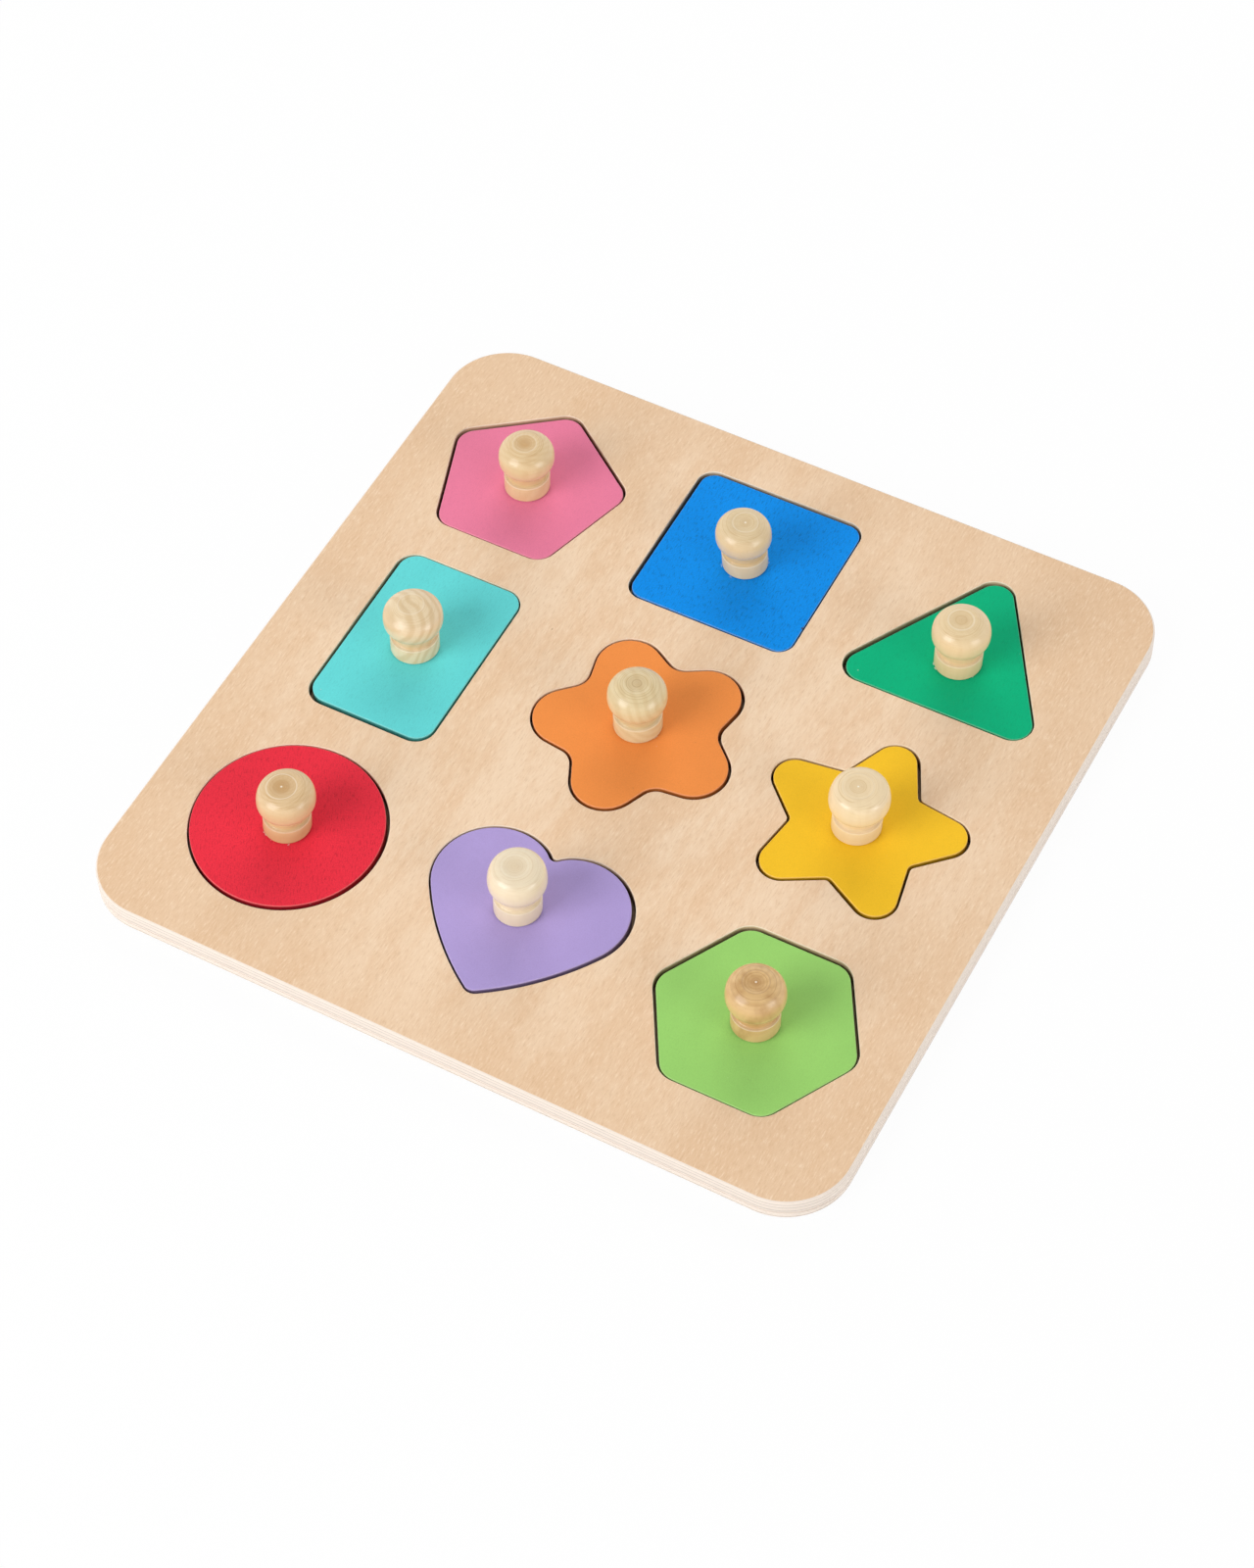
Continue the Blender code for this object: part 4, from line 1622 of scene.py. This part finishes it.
@dataclass(frozen=True)
class Boards:
    """The routed frame and the thin base that it is glued to."""

    shapes: Sequence[ShapeSet]
    side: float = 0.300
    corner: float = 0.025
    arris: float = 0.0010
    arris_steps: int = 5
    base_arris: float = 0.0007
    base_steps: int = 4
    recess_arris: float = 0.0003
    recess_steps: int = 3
    hidden_steps: int = 2        # of the edges between the two boards
    rim_edge: float = 0.139      # further out than this, a face is on the outside of the board
    frame_glue: tuple[float, ...] = (0.0015, 0.0032, 0.0053)
    base_glue: tuple[float, ...] = (0.0020,)

    @property
    def outline(self) -> Outline:
        """The outline of both boards."""
        return Outline.rectangle(self.side, self.side, self.corner)

    def outside(self, at: Vector) -> bool:
        """Whether a point is on the outside of the board, and not in a recess."""
        return max(abs(at.x), abs(at.y)) > self.rim_edge

    def share_out(self, piece: bpy.types.Object) -> None:
        """Give veneer to a board's flats, plies to its outer edge and cutter marks to its recesses.

        Args:
            piece: The board.
        """
        for polygon in piece.data.polygons:
            if abs(polygon.normal.z) > FLAT_TILT:
                face = BoardFace.FLAT
            else:
                face = BoardFace.EDGE if self.outside(polygon.center) else BoardFace.RECESS
            polygon.material_index = face.value

    def frame_board(self) -> bpy.types.Object:
        """Make the upper board, with its nine cut-outs.

        Returns:
            The board.
        """
        bench = Bench("routed_frame")
        bench.ring(self.outline, Vector((0.0, 0.0)), 0.0, SHAPE_BOTTOM)
        for shape in self.shapes:
            recess = shape.outline.turned(LAYOUT_TURN)
            bench.ring(recess, Vector(shape.recess), 0.0, SHAPE_BOTTOM)
        bpy.ops.mesh.fill(use_beauty=True)
        bench.raise_by(FRAME_THICKNESS)
        bench.margin(self.arris + SPARE, SHAPE_TOP)
        bench.margin(self.recess_arris + SPARE, SHAPE_BOTTOM)
        bench.round_over(SHAPE_TOP, self.arris, self.arris_steps, self.outside)
        bench.round_over(SHAPE_TOP, self.recess_arris, self.recess_steps)
        bench.round_over(SHAPE_BOTTOM, self.recess_arris, self.hidden_steps)
        return bench.finish()

    def base_board(self) -> bpy.types.Object:
        """Make the thin lower board.

        Returns:
            The board.
        """
        bench = Bench("base_panel")
        bench.ring(self.outline, Vector((0.0, 0.0)), 0.0, 0.0)
        bpy.ops.mesh.edge_face_add()
        bench.raise_by(BASE_THICKNESS)
        bench.margin(self.recess_arris + SPARE, BASE_THICKNESS)
        bench.margin(self.base_arris + SPARE, 0.0)
        bench.round_over(BASE_THICKNESS, self.recess_arris, self.hidden_steps)
        bench.round_over(0.0, self.base_arris, self.base_steps)
        return bench.finish()

    def build(self) -> None:
        """Build, dress and place both boards."""
        upper = self.frame_board()
        hand_over(upper, "boards", "frame_board", "frame_ply", Veneer("birch_face").make(),
                  PlyEdge("frame_plies", SHAPE_TOP, self.frame_glue).make(),
                  RoutedEdge("recess_walls").make())
        self.share_out(upper)
        lower = self.base_board()
        hand_over(lower, "boards", "base_board", "base_ply", Veneer("birch_back", seed=7.0).make(),
                  PlyEdge("base_plies", BASE_THICKNESS, self.base_glue).make())
        self.share_out(lower)


SHAPES = (
    ShapeSet(
        "pentagon", (-0.09573, 0.09063), (0.36, -0.60), 0.0, (-0.0003, 0.0),
        Outline.regular(5, 0.0402, 0.0083, UP),
        Turning(0.99, 0.985, 0.0050, 0.0006),
        SatinPaint((0.81, 0.212, 0.345), 1.0, pores=0.05, specks=0.30, dust=0.35,
                   nicks=((-0.1200, 0.1127),)),
        TurnedWood(Figure.PLAIN, (0.74, 0.55, 0.32), (0.62, 0.41, 0.19), (0.55, 0.32, 0.13), 1.0,
                   (0.0020, 0.0010), 0.0015, disc=0.0039, disc_share=0.75, halo=0.2),
    ),
    ShapeSet(
        "square", (-0.00357, 0.09510), (0.47, -0.36), -0.1, (-0.0001, -0.0006),
        Outline.rectangle(0.0695, 0.0695, 0.0070),
        Turning(0.96, 0.975, 0.0053, -0.0011, (0.0095,)),
        SatinPaint((0.004, 0.268, 0.82), 2.0, pores=0.36, fine=0.45, torn=0.5,
                   nicks=((0.0305, 0.0755),)),
        TurnedWood(Figure.FAINT, (0.72, 0.565, 0.345), (0.60, 0.42, 0.21), (0.56, 0.37, 0.18), 2.0,
                   (-0.0020, 0.0015), 0.0018, disc_share=0.15, halo=0.25, pip=0.9, neck_shade=0.7,
                   foot=0.0),
    ),
    ShapeSet(
        "triangle", (0.08853, 0.08772), (0.55, -0.42), 0.1, (-0.0002, 0.0006),
        Outline.triangle(0.0887, 0.0745, 0.0081),
        Turning(1.015, 1.005, 0.0055, 0.0007, (0.0100,)),
        SatinPaint((0.003, 0.44, 0.200), 3.0, torn=0.7,
                   nicks=((0.0750, 0.1130), (0.1150, 0.0920))),
        TurnedWood(Figure.FAINT, (0.77, 0.60, 0.36), (0.66, 0.46, 0.24), (0.60, 0.40, 0.19), 3.0,
                   (0.0080, -0.0040), 0.0024, disc_share=0.4, halo=0.3, foot=0.3),
    ),
    ShapeSet(
        "rectangle", (-0.09432, 0.00147), (0.15, 0.59), -0.2, (-0.0003, -0.0004),
        Outline.rectangle(0.0531, 0.0791, 0.0082),
        Turning(1.01, 1.03, 0.0048, 0.0005),
        SatinPaint((0.133, 0.68, 0.68), 4.0, specks=0.35, torn=0.5, nicks=((-0.1203, -0.0280),)),
        TurnedWood(Figure.STRIPED, (0.79, 0.635, 0.415), (0.62, 0.43, 0.22), (0.58, 0.39, 0.20),
                   4.0, (0.030, 0.030), disc_share=0.08, foot=0.0),
    ),
    ShapeSet(
        "flower", (-0.00159, 0.00717), (-0.30, 0.25), 0.3, (-0.0010, 0.0001),
        Outline.rayed(5, 0.0608, 0.0290, 0.0138, 0.0069, -UP),
        Turning(1.01, 1.015, 0.0053, 0.0),
        SatinPaint((0.86, 0.280, 0.066), 5.0, pores=0.03, specks=0.10, dust=0.10, torn=0.7,
                   nicks=((-0.0010, -0.0338),)),
        TurnedWood(Figure.CROSSED, (0.73, 0.59, 0.35), (0.60, 0.42, 0.20), (0.50, 0.35, 0.18),
                   5.0, (0.012, -0.020), disc_share=0.35, turned=0.6, halo=0.1),
    ),
    ShapeSet(
        "star", (0.08949, 0.00309), (-0.14, 0.26), 0.4, (-0.0008, 0.0),
        Outline.rayed(5, 0.0525, 0.0258, 0.0091, 0.0021, UP),
        Turning(0.98, 1.025, 0.0064, 0.0010),
        SatinPaint((0.89, 0.53, 0.024), 6.0, pores=0.03, specks=0.10, dust=0.10,
                   nicks=((0.1140, -0.0040),)),
        TurnedWood(Figure.FAINT, (0.84, 0.67, 0.43), (0.74, 0.54, 0.30), (0.66, 0.47, 0.25), 6.0,
                   (-0.025, -0.035), disc=0.0050, disc_share=0.35, turned=0.5, pip=0.9, foot=0.5),
    ),
    ShapeSet(
        "circle", (-0.09357, -0.09117), (-0.56, 0.38), 0.0, (0.0, 0.0),
        Outline.circle(0.0368),
        Turning(0.95, 0.99, 0.0058, 0.0015, (0.0085, 0.0094, 0.0103)),
        SatinPaint((0.80, 0.032, 0.057), 7.0, pores=0.24, fine=0.42, dust=0.45, torn=0.6,
                   grain_turn=math.radians(27.0), nicks=((-0.0570, -0.0890),)),
        TurnedWood(Figure.PLAIN, (0.72, 0.52, 0.30), (0.62, 0.40, 0.19), (0.52, 0.30, 0.12), 7.0,
                   (0.0012, 0.0008), 0.0013, disc=0.0049, disc_share=0.75, halo=0.3, pip=0.9,
                   foot=0.55),
    ),
    ShapeSet(
        "heart", (-0.00051, -0.08355), (-0.50, 0.08), -0.2, (-0.0014, -0.0003),
        Outline.heart(0.0397),
        Turning(1.04, 0.985, 0.0060, 0.0008, (0.0090, 0.0101)),
        SatinPaint((0.43, 0.335, 0.66), 8.0, pores=0.03, specks=0.45, dust=0.10,
                   nicks=((-0.0225, -0.0550),)),
        TurnedWood(Figure.FAINT, (0.82, 0.70, 0.51), (0.74, 0.58, 0.38), (0.66, 0.50, 0.31), 8.0,
                   (-0.0030, 0.0020), 0.0022, disc_share=0.4, turned=0.25, foot=0.25),
    ),
    ShapeSet(
        "hexagon", (0.09399, -0.08697), (0.34, -0.60), -0.2, (0.0, -0.0001),
        Outline.regular(6, 0.0407, 0.0095, 0.0),
        Turning(1.03, 0.99, 0.0053, 0.0),
        SatinPaint((0.320, 0.63, 0.156), 9.0, pores=0.03, specks=0.15, dust=0.10),
        TurnedWood(Figure.DARK, (0.70, 0.47, 0.22), (0.54, 0.32, 0.12), (0.42, 0.22, 0.08), 9.0,
                   (0.0020, -0.0010), 0.0023, mottle=0.65, disc_share=0.5, turned=0.5, halo=0.1,
                   pip=0.8, foot=0.12),
    ),
)


@dataclass(frozen=True)
class Softbox:
    """A rectangular lamp that faces the middle of the board."""

    name: str
    azimuth: float               # degrees from the front of the board towards its right
    elevation: float             # degrees
    distance: float
    width: float
    height: float
    power: float
    in_gloss: bool = True        # whether it shows in what shines

    def hang(self) -> None:
        """Add the lamp."""
        lamp = bpy.data.lights.new(self.name, "AREA")
        lamp.shape = "RECTANGLE"
        lamp.size = self.width
        lamp.size_y = self.height
        lamp.energy = self.power
        holder = bpy.data.objects.new(self.name, lamp)
        bpy.context.scene.collection.objects.link(holder)
        azimuth = math.radians(self.azimuth)
        elevation = math.radians(self.elevation)
        direction = Vector((math.sin(azimuth) * math.cos(elevation),
                            -math.cos(azimuth) * math.cos(elevation), math.sin(elevation)))
        holder.location = direction * self.distance
        holder.rotation_euler = direction.to_track_quat("Z", "Y").to_euler()
        holder.visible_camera = False
        holder.visible_glossy = self.in_gloss


@dataclass(frozen=True)
class Studio:
    """A white room with a dim ceiling, a paper floor, three softboxes and the camera."""

    floor_size: float = 12.0
    floor_drop: float = 0.0002   # below the board, so that the two do not flicker
    walls: float = 0.85          # light that the walls shed, where white in the picture is 1
    ceiling: float = 0.32
    wall_top: float = 0.35       # height in the room's sphere at which the walls start to dim
    ceiling_from: float = 0.75
    camera_at: Place = (0.4071, -0.7138, 1.1088)
    camera_right: Place = (0.8805, 0.4736, -0.0214)
    camera_up: Place = (-0.3715, 0.7173, 0.5895)
    camera_back: Place = (0.2945, -0.5111, 0.8075)
    lens: float = 85.92          # in millimetres, as the sensor is
    sensor: float = 36.0
    clip: Point = (0.01, 50.0)
    softboxes: tuple[Softbox, ...] = (
        Softbox("softbox_left", -30.0, 32.0, 2.2, 1.25, 1.55, 30.0),
        Softbox("softbox_right", 80.0, 16.0, 2.2, 1.0, 1.3, 14.0),
        Softbox("softbox_back", 198.0, 36.0, 2.2, 1.7, 1.0, 18.0, in_gloss=False),
    )

    def lay_floor(self) -> None:
        """Add the white floor."""
        bpy.ops.object.select_all(action="DESELECT")
        below = (0.0, 0.0, -self.floor_drop)
        bpy.ops.mesh.primitive_plane_add(size=self.floor_size, location=below)
        floor = bpy.context.active_object
        floor.name = "floor"
        floor.data.materials.append(PaperFloor("white_paper").make())

    def light(self) -> None:
        """Set the room's light and hang the lamps."""
        world = bpy.data.worlds.new("studio")
        world.use_nodes = True
        bpy.context.scene.world = world
        room = Tree(world.node_tree)
        background = room.tree.nodes["Background"]
        room.feed(background.inputs["Color"], (1.0, 1.0, 1.0))
        way = room.node("ShaderNodeTexCoord", None, None, "Generated")
        height = room.parts_of(way)[2]
        shed = room.band(height, self.wall_top, self.ceiling_from, self.walls, self.ceiling)
        seen = room.band(height, self.wall_top, self.ceiling_from, 1.0, self.ceiling)
        straight = room.node("ShaderNodeLightPath", None, None, "Is Camera Ray")
        glossy = room.beside(straight, "Is Glossy Ray")
        gloss = glossy + room.beside(straight, "Is Transmission Ray")
        strength = straight + (1.0 - straight) * (shed + (seen - shed) * gloss)
        room.feed(background.inputs["Strength"], strength)
        for softbox in self.softboxes:
            softbox.hang()

    def set_camera(self) -> None:
        """Add the camera."""
        camera = bpy.data.cameras.new("camera")
        camera.lens = self.lens
        camera.sensor_width = self.sensor
        camera.clip_start, camera.clip_end = self.clip
        holder = bpy.data.objects.new("camera", camera)
        bpy.context.scene.collection.objects.link(holder)
        turn = Matrix((self.camera_right, self.camera_up, self.camera_back)).transposed()
        holder.matrix_world = Matrix.Translation(self.camera_at) @ turn.to_4x4()
        bpy.context.scene.camera = holder
        bpy.context.scene.view_settings.view_transform = "Standard"

    def build(self) -> None:
        """Set up the whole studio."""
        self.lay_floor()
        self.light()
        self.set_camera()


def main() -> None:
    """Build the puzzle and the studio."""
    logging.basicConfig(level=logging.INFO, format="%(name)s: %(message)s")
    Boards(SHAPES).build()
    shop = Workshop.open()
    for shape in SHAPES:
        shape.build(shop)
    shop.close()
    Studio().build()


if __name__ == "__main__":
    main()
